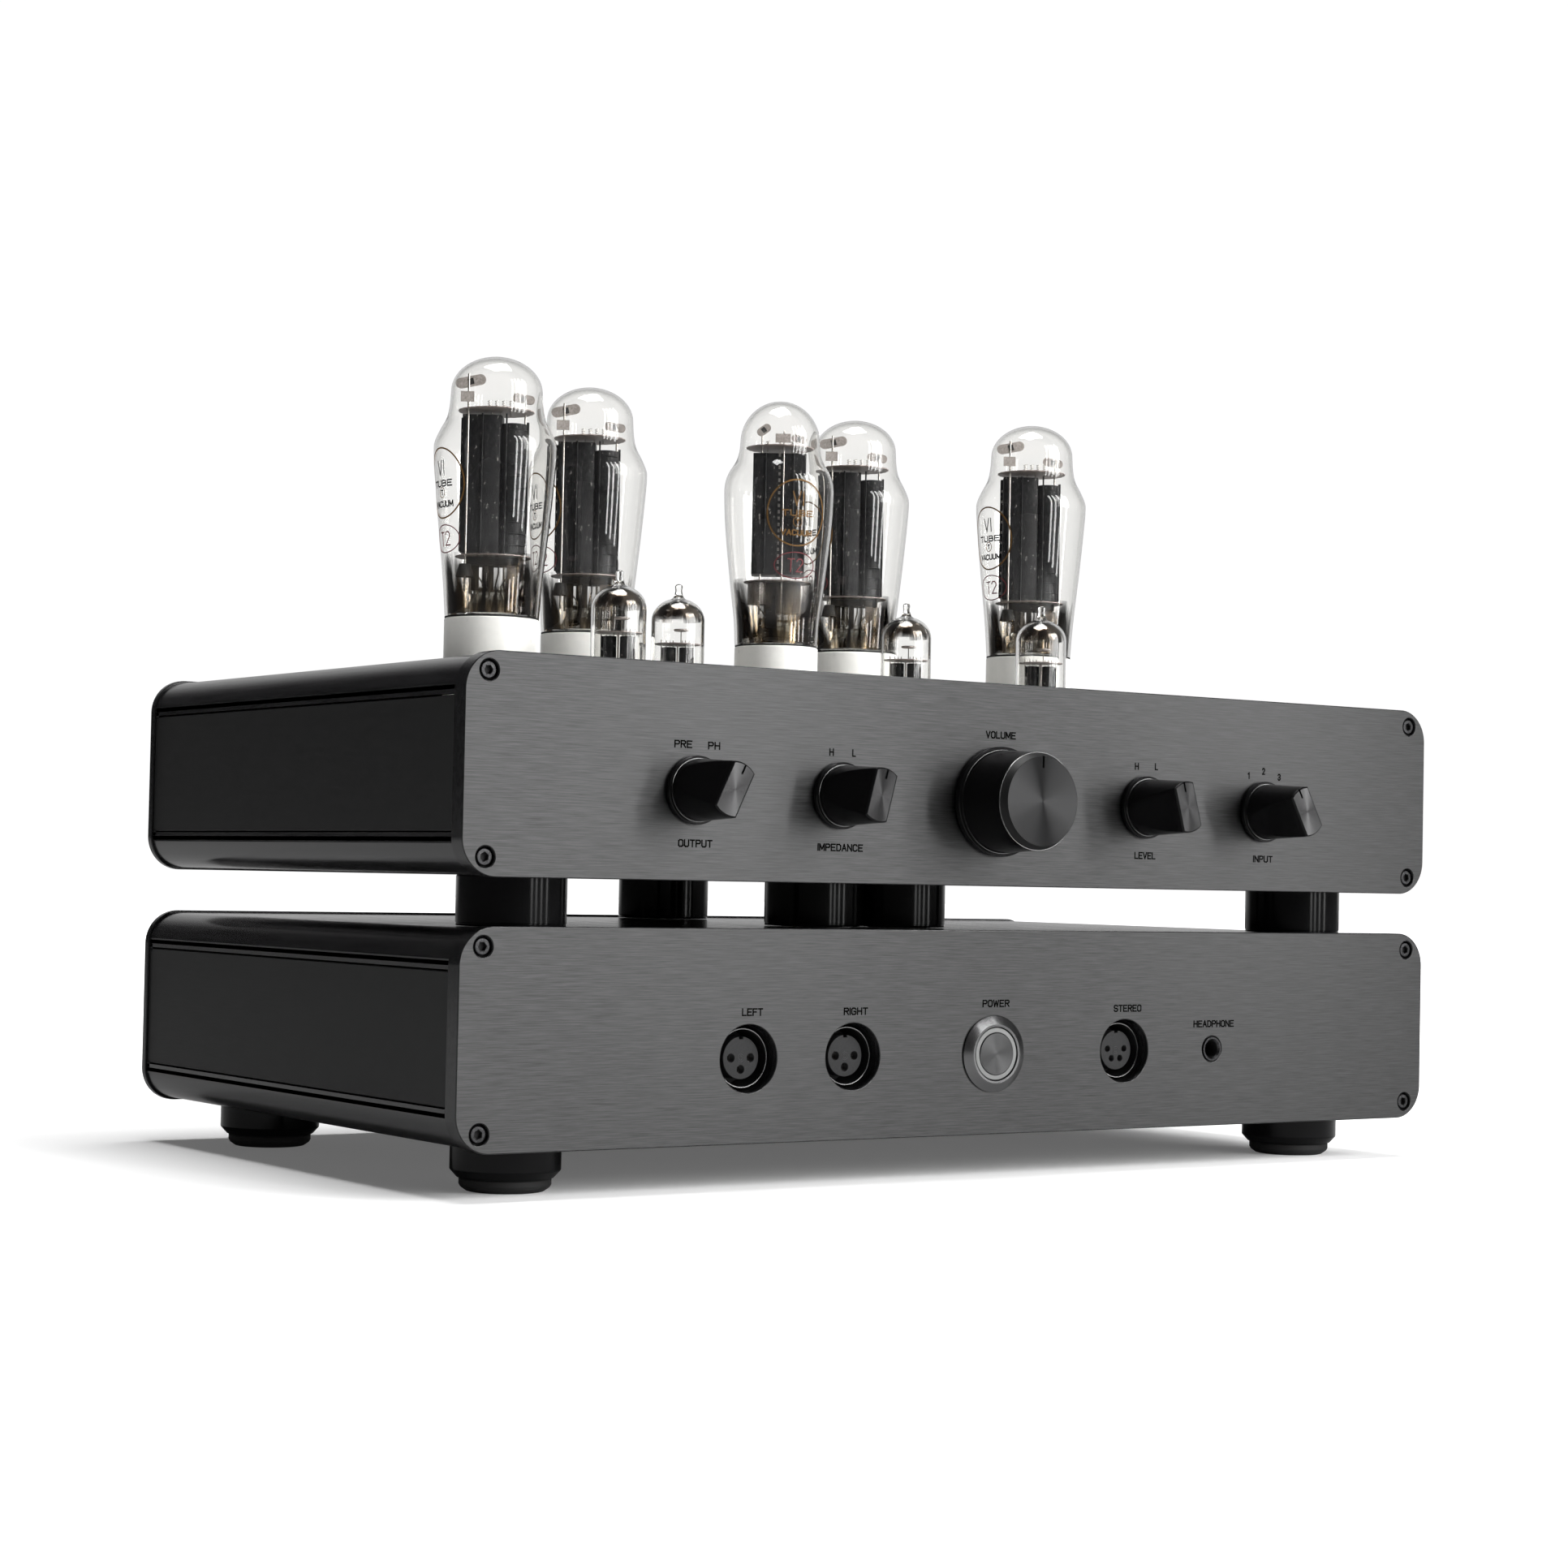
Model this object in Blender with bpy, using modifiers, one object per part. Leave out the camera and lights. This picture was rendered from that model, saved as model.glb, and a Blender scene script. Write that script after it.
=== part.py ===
"""Two-tier vacuum-tube headphone amplifier: a power supply below, the amplifier with its nine tubes above.

Metres, +Z up, the front panels face -Y.
The origin is under the middle of the object, on the surface it stands on.
"""

import math

import bmesh
import bpy
from mathutils import Matrix, Vector

MM = 0.001

# Driving dimensions of the two housings
WIDTH = 445.0 * MM
TIER_HEIGHT = 74.5 * MM
DEPTH = 255.0 * MM
FRONT_THICKNESS = 7.5 * MM
REAR_THICKNESS = 3.0 * MM
CORNER_RADIUS = 13.0 * MM
TIER_GAP = 16.1 * MM
FOOT_HEIGHT = 16.0 * MM
BODY_INSET = 0.9 * MM
WALL = 2.5 * MM
FLANGE_HEIGHT = 14.4 * MM
SIDE_TONGUE = 2.0 * MM
TONGUE_THICKNESS = 2.0 * MM
FIT_GAP = 0.3 * MM
GROOVE_GAP = 0.5 * MM
# How far one body of a piece runs into another, or a cutter runs past a face
OVERLAP = 1.0 * MM

KNOB_LENGTH = 25.0 * MM
VOLUME_LENGTH = 26.0 * MM
REAR_REACH = 9.0 * MM

FRONT_Y = (VOLUME_LENGTH - DEPTH - REAR_REACH) / 2
REAR_Y = FRONT_Y + DEPTH
LOWER_Z = FOOT_HEIGHT
UPPER_Z = LOWER_Z + TIER_HEIGHT + TIER_GAP
DECK_Z = UPPER_Z + TIER_HEIGHT - BODY_INSET
HALF_BODY = WIDTH / 2 - BODY_INSET

# Screws of the front and rear panels
SCREW_INSET_X = 8.9 * MM
SCREW_INSET_Z = 6.6 * MM
SCREW_HOLE_RADIUS = 2.2 * MM
COUNTERBORE_RADIUS = 4.0 * MM
COUNTERBORE_DEPTH = 3.5 * MM

# Controls on the upper front panel: offset in X and the angle the pointer rests at, clockwise from upright
KNOB_Z = UPPER_Z + 31.0 * MM
SMALL_KNOBS = {
    "output": (-132.6 * MM, 26.0),
    "impedance": (-71.3 * MM, 15.0),
    "level": (71.3 * MM, -16.0),
    "input": (132.6 * MM, -29.0),
}
VOLUME_X = 0.0
KNOB_OFFSET = 0.5 * MM
FLANGE_RADIUS = 11.8 * MM
KNOB_FLANGE = 2.4 * MM
KNOB_BASE_RADIUS = 10.8 * MM
KNOB_RIM_RADIUS = 9.6 * MM
KNOB_CHAMFER = (0.4 * MM, 0.4 * MM)
BAR_HALF_WIDTH = 4.7 * MM
# The slanted flats start this far above the flange; the block that cuts them is this wide and long
FLAT_START = 0.2 * MM
FLAT_BLOCK = (20.0 * MM, 45.0 * MM)
VOLUME_FLANGE_RADIUS = 20.15 * MM
VOLUME_FLANGE = 3.0 * MM
VOLUME_BASE_RADIUS = 18.9 * MM
VOLUME_RIM_RADIUS = 17.7 * MM
VOLUME_CHAMFER = (1.45 * MM, 2.8 * MM)
POINTER_SLOT = (0.9 * MM, 3.4 * MM, 0.6 * MM)
POINTER_INSET = 0.8 * MM
SHAFT_RADIUS = 3.0 * MM
SHAFT_IN_KNOB = 17.0 * MM
SHAFT_BEHIND = 30.0 * MM
BUSH_HOLE_RADIUS = 4.0 * MM
SWITCH_FRONT = 11.0 * MM
SWITCH_LENGTH = 22.0 * MM
SWITCH_RADIUS = 12.5 * MM
VOLUME_SWITCH_RADIUS = 15.0 * MM
CONTROL_BOARD_HALF = (150.0 * MM, 17.0 * MM)
BOARD_THICKNESS = 2.0 * MM

# Sockets on the lower front panel
SOCKET_Z = LOWER_Z + 29.5 * MM
XLR_X = {"left": -108.0 * MM, "right": -63.4 * MM, "stereo": 63.4 * MM}
XLR_HOLE_RADIUS = 12.0 * MM
XLR_RIM_DEPTH = 3.8 * MM
XLR_FACE_DEPTH = 5.0 * MM
XLR_BORE_RADIUS = 9.65 * MM
XLR_INSERT_RADIUS = 7.25 * MM
XLR_GAP_DEPTH = 16.0 * MM
XLR_BODY_DEPTH = 30.0 * MM
XLR_PIN_DEPTH = 14.0 * MM
XLR_PIN_RADIUS = 1.4 * MM
XLR_PIN_CIRCLE = 4.05 * MM
XLR_PIN_ANGLES = {"left": (0, 180, 270), "right": (0, 180, 270), "stereo": (0, 180, 232, 308)}
JACK_X = 108.0 * MM
JACK_HOLE_RADIUS = 4.95 * MM
JACK_BORE_RADIUS = 3.2 * MM
JACK_NOSE_DEPTH = 0.5 * MM
JACK_BODY_RADIUS = 9.0 * MM
JACK_END_WALL = 3.0 * MM
JACK_DEPTH = 36.0 * MM
POWER_X = 0.0
POWER_HOLE_RADIUS = 12.6 * MM
POWER_BEZEL_RADIUS = 13.9 * MM
POWER_LIP_RADIUS = 10.95 * MM
POWER_PROUD = 2.2 * MM
POWER_BODY_DEPTH = 30.0 * MM
BUTTON_RADIUS = 9.55 * MM
BUTTON_PROUD = 2.4 * MM
BUTTON_DEPTH = 4.5 * MM
BUTTON_WELL_DEPTH = 8.0 * MM

# Tubes on the deck
POWER_TUBES = {
    "power_tube_1": (-132.0 * MM, 145.0 * MM),
    "power_tube_2": (-66.5 * MM, 184.5 * MM),
    "power_tube_3": (66.5 * MM, 184.5 * MM),
    "power_tube_4": (132.0 * MM, 145.0 * MM),
}
RECTIFIER_PLACE = (0.0, 145.0 * MM)
DRIVER_TUBES = {
    "driver_tube_1": (-102.5 * MM, 100.8 * MM),
    "driver_tube_2": (-56.0 * MM, 131.8 * MM),
    "driver_tube_3": (56.0 * MM, 131.8 * MM),
    "driver_tube_4": (102.5 * MM, 100.8 * MM),
}
POWER_GLASS = {
    "foot": (18.2 * MM, 25.8 * MM),
    "shoulder": (23.5 * MM, 91.0 * MM),
    "waist": (17.45 * MM, 105.5 * MM),
    "dome": 113.5 * MM,
    "top": 124.0 * MM,
}
RECTIFIER_GLASS = {
    "foot": (16.95 * MM, 22.6 * MM),
    "shoulder": (22.3 * MM, 86.5 * MM),
    "waist": (16.2 * MM, 101.5 * MM),
    "dome": 105.0 * MM,
    "top": 121.6 * MM,
}
GLASS_WALL = 1.2 * MM
NECK_LENGTH = 8.0 * MM
BASE_WALL = 2.8 * MM
BASE_DEPTH = 5.0 * MM
BASE_INSET = 0.1 * MM
PIN_LENGTH = 12.0 * MM
# Pins under a base: how many, the radius of their circle and their own radius
POWER_PINS = (4, 10.5 * MM, 2.0 * MM)
RECTIFIER_PINS = (8, 8.7 * MM, 1.2 * MM)
DRIVER_RADIUS = 10.45 * MM
DRIVER_SINK = 3.0 * MM
DRIVER_DOME = 26.0 * MM
DRIVER_TOP = 36.4 * MM
DRIVER_TIP = 42.2 * MM
DRIVER_WALL = 1.0 * MM
BIG_DECK_HOLE = 19.6 * MM
SMALL_DECK_HOLE = 12.0 * MM
BIG_SOCKET = (19.0 * MM, 14.3 * MM)
SMALL_SOCKET = (11.6 * MM, 8.4 * MM)
SOCKET_BOARD_Z = DECK_Z - 18.0 * MM
SOCKET_BOARD_HALF = 162.0 * MM
SOCKET_BOARD_BACK = (80.0 * MM, 206.0 * MM)

# Feet and the posts between the tiers
FOOT_RADIUS = 19.0 * MM
PAD_RADIUS = 15.8 * MM
PAD_FLAT_RADIUS = 13.0 * MM
PAD_HEIGHT = 4.7 * MM
PAD_EDGE = 2.5 * MM
FOOT_CHAMFER = 2.5 * MM
FOOT_X = 183.5 * MM
FOOT_BACK = (35.0 * MM, 220.0 * MM)
POST_EDGE = 0.5 * MM
PILLAR_RADIUS = 19.0 * MM
PILLARS = {
    "pillar_front_left": (-183.5 * MM, 35.0 * MM),
    "pillar_front_right": (183.5 * MM, 35.0 * MM),
    "pillar_rear": (0.0, 226.0 * MM),
}
CONDUIT_RADIUS = 18.6 * MM
CONDUIT_BORE = 12.0 * MM
CONDUITS = {"conduit_left": (-20.5 * MM, 87.0 * MM), "conduit_right": (20.5 * MM, 87.0 * MM)}

# Rear panel fittings
INLET_X = 150.0 * MM
INLET_Z = LOWER_Z + 37.0 * MM
INLET_HOLE = (28.2 * MM, 20.8 * MM)
INLET_FLANGE = (34.0 * MM, 26.0 * MM)
INLET_CAVITY = (24.0 * MM, 16.4 * MM)
INLET_FLANGE_THICKNESS = 2.6 * MM
INLET_CAVITY_DEPTH = 16.0 * MM
INLET_BODY_DEPTH = 24.0 * MM
INLET_PIN = (2.0 * MM, 4.0 * MM, 10.0 * MM)
JACK_BLOCK_Z = UPPER_Z + 38.0 * MM
JACK_PITCH = 19.0 * MM
JACK_COUNT = 8
PHONO_HOLE_RADIUS = 5.4 * MM
PHONO_BARREL_RADIUS = 4.2 * MM
PHONO_BORE_RADIUS = 1.7 * MM

PHONO_BORE_DEPTH = 12.0 * MM
JACK_BLOCK_DEPTH = 14.0 * MM
JACK_BLOCK_HALF_HEIGHT = 9.0 * MM
INLET_PIN_SPOTS = ((-7.0 * MM, -2.0 * MM), (0.0, 2.0 * MM), (7.0 * MM, -2.0 * MM))

# Parts inside the tiers, each placed by X and the distance behind the front face
TRANSFORMER_PLACE = (-120.0 * MM, 145.0 * MM)
TRANSFORMER_RADIUS = 52.0 * MM
TRANSFORMER_HEIGHT = 51.0 * MM
TRANSFORMER_EDGE = 5.0 * MM
TRANSFORMER_BOSS = (6.0 * MM, 54.0 * MM)
CHOKE_X = (30.0 * MM, 90.0 * MM)
CHOKE_BACK = (70.0 * MM, 120.0 * MM)
CHOKE_HEIGHT = 44.0 * MM
SUPPLY_BOARD_X = (-30.0 * MM, 120.0 * MM)
SUPPLY_BOARD_BACK = (140.0 * MM, 225.0 * MM)
SUPPLY_BOARD_LIFT = 6.0 * MM
CAPACITOR_COLUMNS = (-8.0 * MM, 35.0 * MM, 78.0 * MM)
CAPACITOR_ROWS = (160.0 * MM, 203.0 * MM)
CAPACITOR_RADIUS = 15.0 * MM
CAPACITOR_HEIGHT = 44.0 * MM
OUTPUT_X = 150.0 * MM
OUTPUT_HALF_WIDTH = 34.0 * MM
OUTPUT_BACK = (198.0 * MM, 248.0 * MM)
OUTPUT_HEIGHT = 47.0 * MM
CASE_EDGE = 3.0 * MM

# Facets of the turned shapes
TUBE_SIDES = 16
ROUND_SIDES = 20
SMALL_SIDES = 12
CORNER_STEPS = 5

SOLIDS = "tube_amplifier"
CUTTERS = "cutters"


def clear_scene():
    for obj in list(bpy.data.objects):
        bpy.data.objects.remove(obj, do_unlink=True)


def make_collection(name):
    collection = bpy.data.collections.new(name)
    bpy.context.scene.collection.children.link(collection)
    return collection


def material(name, colour, roughness, metallic=0.0, transmission=0.0):
    made = bpy.data.materials.new(name)
    made.use_nodes = True
    shader = made.node_tree.nodes["Principled BSDF"]
    shader.inputs["Base Color"].default_value = (*colour, 1.0)
    shader.inputs["Roughness"].default_value = roughness
    shader.inputs["Metallic"].default_value = metallic
    shader.inputs["Transmission Weight"].default_value = transmission
    made.diffuse_color = (*colour, 1.0)
    return made


def add_object(name, data, collection, finish=None):
    obj = bpy.data.objects.new(name, data)
    bpy.data.collections[collection].objects.link(obj)
    if finish:
        obj.data.materials.append(finish)
    if collection == CUTTERS:
        obj.hide_render = True
        obj.display_type = "WIRE"
    return obj


def shade_round(obj):
    obj.data.shade_smooth()
    obj.data.set_sharp_from_angle(angle=math.radians(35))


def to_mesh(obj, collection, finish=None):
    """Swaps a curve or a modified object for the plain mesh it evaluates to, with its seams welded."""
    name = obj.name
    bpy.context.view_layer.update()
    graph = bpy.context.evaluated_depsgraph_get()
    mesh = bpy.data.meshes.new_from_object(obj.evaluated_get(graph))
    placed = obj.matrix_world.copy()
    bpy.data.objects.remove(obj, do_unlink=True)
    shape = bmesh.new()
    shape.from_mesh(mesh)
    bmesh.ops.remove_doubles(shape, verts=shape.verts, dist=1e-6)
    bmesh.ops.recalc_face_normals(shape, faces=shape.faces)
    shape.to_mesh(mesh)
    shape.free()
    mesh.materials.clear()
    result = add_object(name, mesh, collection, finish)
    result.matrix_world = placed
    return result


def circle(centre, radius, sides, start=0.0):
    angles = [start + 2 * math.pi * i / sides for i in range(sides)]
    return [(centre[0] + radius * math.cos(a), centre[1] + radius * math.sin(a)) for a in angles]


def arc(centre, radius, start, end, steps):
    angles = [math.radians(start + (end - start) * i / steps) for i in range(steps + 1)]
    return [(centre[0] + radius * math.cos(a), centre[1] + radius * math.sin(a)) for a in angles]


def rectangle(centre, width, height):
    x, z = centre
    return [(x - width / 2, z - height / 2), (x + width / 2, z - height / 2),
            (x + width / 2, z + height / 2), (x - width / 2, z + height / 2)]


def rounded_rectangle(width, bottom, top, radius):
    x = width / 2 - radius
    return (arc((x, bottom + radius), radius, -90, 0, CORNER_STEPS)
            + arc((x, top - radius), radius, 0, 90, CORNER_STEPS)
            + arc((-x, top - radius), radius, 90, 180, CORNER_STEPS)
            + arc((-x, bottom + radius), radius, 180, 270, CORNER_STEPS))


def outline_solid(name, loops, front, back, finish=None, collection=SOLIDS):
    """A flat outline in X and Z, with its holes, extruded along Y from front to back."""
    curve = bpy.data.curves.new(name, "CURVE")
    curve.dimensions = "2D"
    curve.fill_mode = "BOTH"
    curve.extrude = (back - front) / 2
    for loop in loops:
        spline = curve.splines.new("POLY")
        spline.points.add(len(loop) - 1)
        for point, (x, z) in zip(spline.points, loop):
            point.co = (x, z, 0.0, 1.0)
        spline.use_cyclic_u = True
    obj = add_object(name, curve, collection)
    obj.location.y = (front + back) / 2
    obj.rotation_euler.x = math.pi / 2
    return to_mesh(obj, collection, finish)


def turned(name, profile, place, finish=None, sides=ROUND_SIDES, forward=False, turn=0.0, collection=SOLIDS):
    """A profile of (radius, height) points turned about Z, which points to -Y when forward is set."""
    mesh = bpy.data.meshes.new(name)
    points = [(radius, 0.0, height) for radius, height in profile]
    edges = [(i, i + 1) for i in range(len(points) - 1)]
    mesh.from_pydata(points, edges, [])
    obj = add_object(name, mesh, collection, finish)
    obj.location = place
    if forward:
        obj.rotation_euler = (math.pi / 2, math.radians(turn), 0.0)
    screw = obj.modifiers.new("Turn", "SCREW")
    screw.steps = sides
    screw.render_steps = sides
    screw.use_merge_vertices = True
    screw.merge_threshold = 1e-5
    screw.use_smooth_shade = True
    return to_mesh(obj, collection, finish)


def ring_profile(outer, inner, bottom, top):
    return [(inner, top), (outer, top), (outer, bottom), (inner, bottom), (inner, top)]


def rod_profile(radius, bottom, top):
    return [(0.0, top), (radius, top), (radius, bottom), (0.0, bottom)]


def box(name, low, high, finish=None, collection=SOLIDS):
    shape = bmesh.new()
    bmesh.ops.create_cube(shape, size=1.0)
    low, high = Vector(low), Vector(high)
    bmesh.ops.transform(shape, matrix=Matrix.Diagonal((*(high - low), 1.0)), verts=shape.verts)
    bmesh.ops.translate(shape, vec=(low + high) / 2, verts=shape.verts)
    mesh = bpy.data.meshes.new(name)
    shape.to_mesh(mesh)
    shape.free()
    return add_object(name, mesh, collection, finish)


def merged(name, objects):
    """One helper made of several bodies that stay apart, so one Boolean handles them all."""
    shape = bmesh.new()
    bpy.context.view_layer.update()
    for obj in objects:
        part = obj.data.copy()
        part.transform(obj.matrix_world)
        shape.from_mesh(part)
        bpy.data.meshes.remove(part)
        bpy.data.objects.remove(obj, do_unlink=True)
    mesh = bpy.data.meshes.new(name)
    shape.to_mesh(mesh)
    shape.free()
    return add_object(name, mesh, CUTTERS)


def boolean(obj, other, operation):
    modifier = obj.modifiers.new(operation.title(), "BOOLEAN")
    modifier.operation = operation
    modifier.object = other


def cut(obj, *tools):
    boolean(obj, merged(obj.name + "_cutter", list(tools)), "DIFFERENCE")


def fuse(obj, *additions):
    boolean(obj, merged(obj.name + "_addition", list(additions)), "UNION")


def place(offset, height):
    """A point of the plan, given as X and the distance behind the front face, at a height."""
    return (offset[0], FRONT_Y + offset[1], height)


# Housings


def screw_spots(bottom):
    x = WIDTH / 2 - SCREW_INSET_X
    low, high = bottom + SCREW_INSET_Z, bottom + TIER_HEIGHT - SCREW_INSET_Z
    return [(-x, low), (x, low), (-x, high), (x, high)]


def front_plate(name, bottom, holes, finish):
    loops = [rounded_rectangle(WIDTH, bottom, bottom + TIER_HEIGHT, CORNER_RADIUS)]
    loops += [circle(centre, radius, ROUND_SIDES) for centre, radius in holes]
    loops += [circle(spot, SCREW_HOLE_RADIUS, SMALL_SIDES) for spot in screw_spots(bottom)]
    plate = outline_solid(name, loops, FRONT_Y, FRONT_Y + FRONT_THICKNESS, finish)
    profile = rod_profile(COUNTERBORE_RADIUS, -COUNTERBORE_DEPTH, OVERLAP)
    cut(plate, *[turned(f"{name}_counterbore_{i}", profile, (x, FRONT_Y, z), sides=SMALL_SIDES,
                        forward=True, collection=CUTTERS)
                 for i, (x, z) in enumerate(screw_spots(bottom))])
    return plate


def rear_plate(name, bottom, holes, finish):
    loops = [rounded_rectangle(WIDTH, bottom, bottom + TIER_HEIGHT, CORNER_RADIUS)]
    loops += holes
    loops += [circle(spot, SCREW_HOLE_RADIUS, SMALL_SIDES) for spot in screw_spots(bottom)]
    return outline_solid(name, loops, REAR_Y - REAR_THICKNESS, REAR_Y, finish)


def channel(height, direction):
    """Cross-section of a cover: a flat web with a rounded corner and a short flange at each side.

    direction is 1 for a top cover and -1 for a base cover; height is the web's outer face.
    """
    radius = CORNER_RADIUS - BODY_INSET
    x = HALF_BODY - radius
    outer = arc((x, -radius), radius, 0, 90, CORNER_STEPS) + arc((-x, -radius), radius, 90, 180, CORNER_STEPS)
    inner = (arc((-x, -radius), radius - WALL, 180, 90, CORNER_STEPS)
             + arc((x, -radius), radius - WALL, 90, 0, CORNER_STEPS))
    reach = FLANGE_HEIGHT - BODY_INSET
    points = ([(HALF_BODY, -reach)] + outer + [(-HALF_BODY, -reach), (WALL - HALF_BODY, -reach)]
              + inner + [(HALF_BODY - WALL, -reach)])
    return [(px, height + direction * pz) for px, pz in points]


def cover(name, height, direction, finish):
    front = FRONT_Y + FRONT_THICKNESS + FIT_GAP
    back = REAR_Y - REAR_THICKNESS - FIT_GAP
    return outline_solid(name, [channel(height, direction)], front, back, finish)


def side_panel(name, bottom, side, finish):
    """A flat side whose outer face shows between the covers, held behind their flanges by tongues."""
    low = bottom + FLANGE_HEIGHT + GROOVE_GAP
    high = bottom + TIER_HEIGHT - FLANGE_HEIGHT - GROOVE_GAP
    face = HALF_BODY
    step = HALF_BODY - WALL - FIT_GAP
    inside = step - TONGUE_THICKNESS
    points = [(face, low), (face, high), (step, high), (step, high + SIDE_TONGUE),
              (inside, high + SIDE_TONGUE),
              (inside, low - SIDE_TONGUE), (step, low - SIDE_TONGUE), (step, low)]
    front = FRONT_Y + FRONT_THICKNESS + FIT_GAP
    back = REAR_Y - REAR_THICKNESS - FIT_GAP
    return outline_solid(name, [[(side * x, z) for x, z in points]], front, back, finish)


def drill_down(obj, spots, height):
    """Cuts a round hole through a web at each (place, radius)."""
    tools = [turned(f"{obj.name}_drill_{i}", rod_profile(radius, -2 * WALL, 2 * WALL), place(spot, height),
                    sides=TUBE_SIDES, collection=CUTTERS)
             for i, (spot, radius) in enumerate(spots)]
    cut(obj, *tools)


def build_housings(finishes):
    knob_holes = [((x, KNOB_Z), BUSH_HOLE_RADIUS) for x, _ in SMALL_KNOBS.values()]
    knob_holes.append(((VOLUME_X, KNOB_Z), BUSH_HOLE_RADIUS))
    socket_holes = [((x, SOCKET_Z), XLR_HOLE_RADIUS) for x in XLR_X.values()]
    socket_holes.append(((POWER_X, SOCKET_Z), POWER_HOLE_RADIUS))
    socket_holes.append(((JACK_X, SOCKET_Z), JACK_HOLE_RADIUS))
    phono_holes = [circle(spot, PHONO_HOLE_RADIUS, SMALL_SIDES) for spot in phono_spots()]
    inlet_hole = [rectangle((INLET_X, INLET_Z), *INLET_HOLE)]
    conduit_spots = [(spot, CONDUIT_BORE) for spot in CONDUITS.values()]
    tube_spots = [(spot, BIG_DECK_HOLE) for spot in (*POWER_TUBES.values(), RECTIFIER_PLACE)]
    tube_spots += [(spot, SMALL_DECK_HOLE) for spot in DRIVER_TUBES.values()]
    front_plate("lower_front_plate", LOWER_Z, socket_holes, finishes["panel"])
    front_plate("upper_front_plate", UPPER_Z, knob_holes, finishes["panel"])
    rear_plate("lower_rear_plate", LOWER_Z, inlet_hole, finishes["black"])
    rear_plate("upper_rear_plate", UPPER_Z, phono_holes, finishes["black"])
    for tier, bottom, web_holes, base_holes in (
        ("lower", LOWER_Z, conduit_spots, []),
        ("upper", UPPER_Z, tube_spots, conduit_spots),
    ):
        top = bottom + TIER_HEIGHT - BODY_INSET
        drill_down(cover(f"{tier}_top_cover", top, 1, finishes["black"]), web_holes, top)
        base = cover(f"{tier}_base_cover", bottom + BODY_INSET, -1, finishes["black"])
        if base_holes:
            drill_down(base, base_holes, bottom + BODY_INSET)
        side_panel(f"{tier}_side_panel_left", bottom, -1, finishes["side"])
        side_panel(f"{tier}_side_panel_right", bottom, 1, finishes["side"])


# Feet and posts


def build_supports(finishes):
    shoulder = PAD_HEIGHT + FOOT_CHAMFER
    top = LOWER_Z + BODY_INSET - FIT_GAP
    profile = [(0.0, top), (FOOT_RADIUS, top), (FOOT_RADIUS, shoulder),
               (FOOT_RADIUS - FOOT_CHAMFER, PAD_HEIGHT),
               (PAD_RADIUS, PAD_HEIGHT), (PAD_RADIUS, PAD_EDGE), (PAD_FLAT_RADIUS, 0.0), (0.0, 0.0)]
    for side, x in (("left", -FOOT_X), ("right", FOOT_X)):
        for row, back in zip(("front", "rear"), FOOT_BACK):
            shade_round(turned(f"foot_{row}_{side}", profile, (x, FRONT_Y + back, 0.0), finishes["black"]))
    low = LOWER_Z + TIER_HEIGHT - BODY_INSET + FIT_GAP
    high = UPPER_Z + BODY_INSET - FIT_GAP
    edge = POST_EDGE
    length = high - low
    pillar = [(0.0, length), (PILLAR_RADIUS - edge, length), (PILLAR_RADIUS, length - edge),
              (PILLAR_RADIUS, edge), (PILLAR_RADIUS - edge, 0.0), (0.0, 0.0)]
    conduit = [(CONDUIT_BORE, length), (CONDUIT_RADIUS - edge, length), (CONDUIT_RADIUS, length - edge),
               (CONDUIT_RADIUS, edge), (CONDUIT_RADIUS - edge, 0.0), (CONDUIT_BORE, 0.0),
               (CONDUIT_BORE, length)]
    for name, spot in PILLARS.items():
        shade_round(turned(name, pillar, place(spot, low), finishes["black"]))
    for name, spot in CONDUITS.items():
        shade_round(turned(name, conduit, place(spot, low), finishes["black"]))


# Knobs, shafts and the switches behind them


def knob_profile(flange_radius, flange, base_radius, rim_radius, chamfer, length):
    bore = SHAFT_RADIUS + FIT_GAP
    bore_end = SHAFT_IN_KNOB + FIT_GAP
    return [(0.0, length), (rim_radius - chamfer[0], length), (rim_radius, length - chamfer[1]),
            (base_radius, flange), (flange_radius, flange), (flange_radius, KNOB_OFFSET),
            (bore, KNOB_OFFSET), (bore, bore_end), (0.0, bore_end)]


def pointer_slot(knob, length, radius):
    """A shallow slot in the knob's face, at the pointer end."""
    width, reach, depth = POINTER_SLOT
    low = (-width / 2, radius - POINTER_INSET - reach, length - depth)
    high = (width / 2, radius - POINTER_INSET, length + depth)
    tool = box(f"{knob.name}_slot", low, high, collection=CUTTERS)
    tool.matrix_world = knob.matrix_world
    return tool


def flat_tool(knob, side):
    """A block whose inner face is the slanted flat from the flange's edge to the bar on the face."""
    slope = math.atan2(KNOB_BASE_RADIUS - BAR_HALF_WIDTH, KNOB_LENGTH - KNOB_FLANGE)
    width, length = FLAT_BLOCK
    tool = box(f"{knob.name}_flat", (0.0, -width, 0.0), (width, width, length), collection=CUTTERS)
    turn = Matrix.Rotation(-slope, 4, "Y")
    start = Matrix.Translation((KNOB_BASE_RADIUS, 0.0, KNOB_FLANGE + FLAT_START))
    flip = Matrix.Rotation(0.0 if side > 0 else math.pi, 4, "Z")
    tool.matrix_world = knob.matrix_world @ flip @ start @ turn
    return tool


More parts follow.
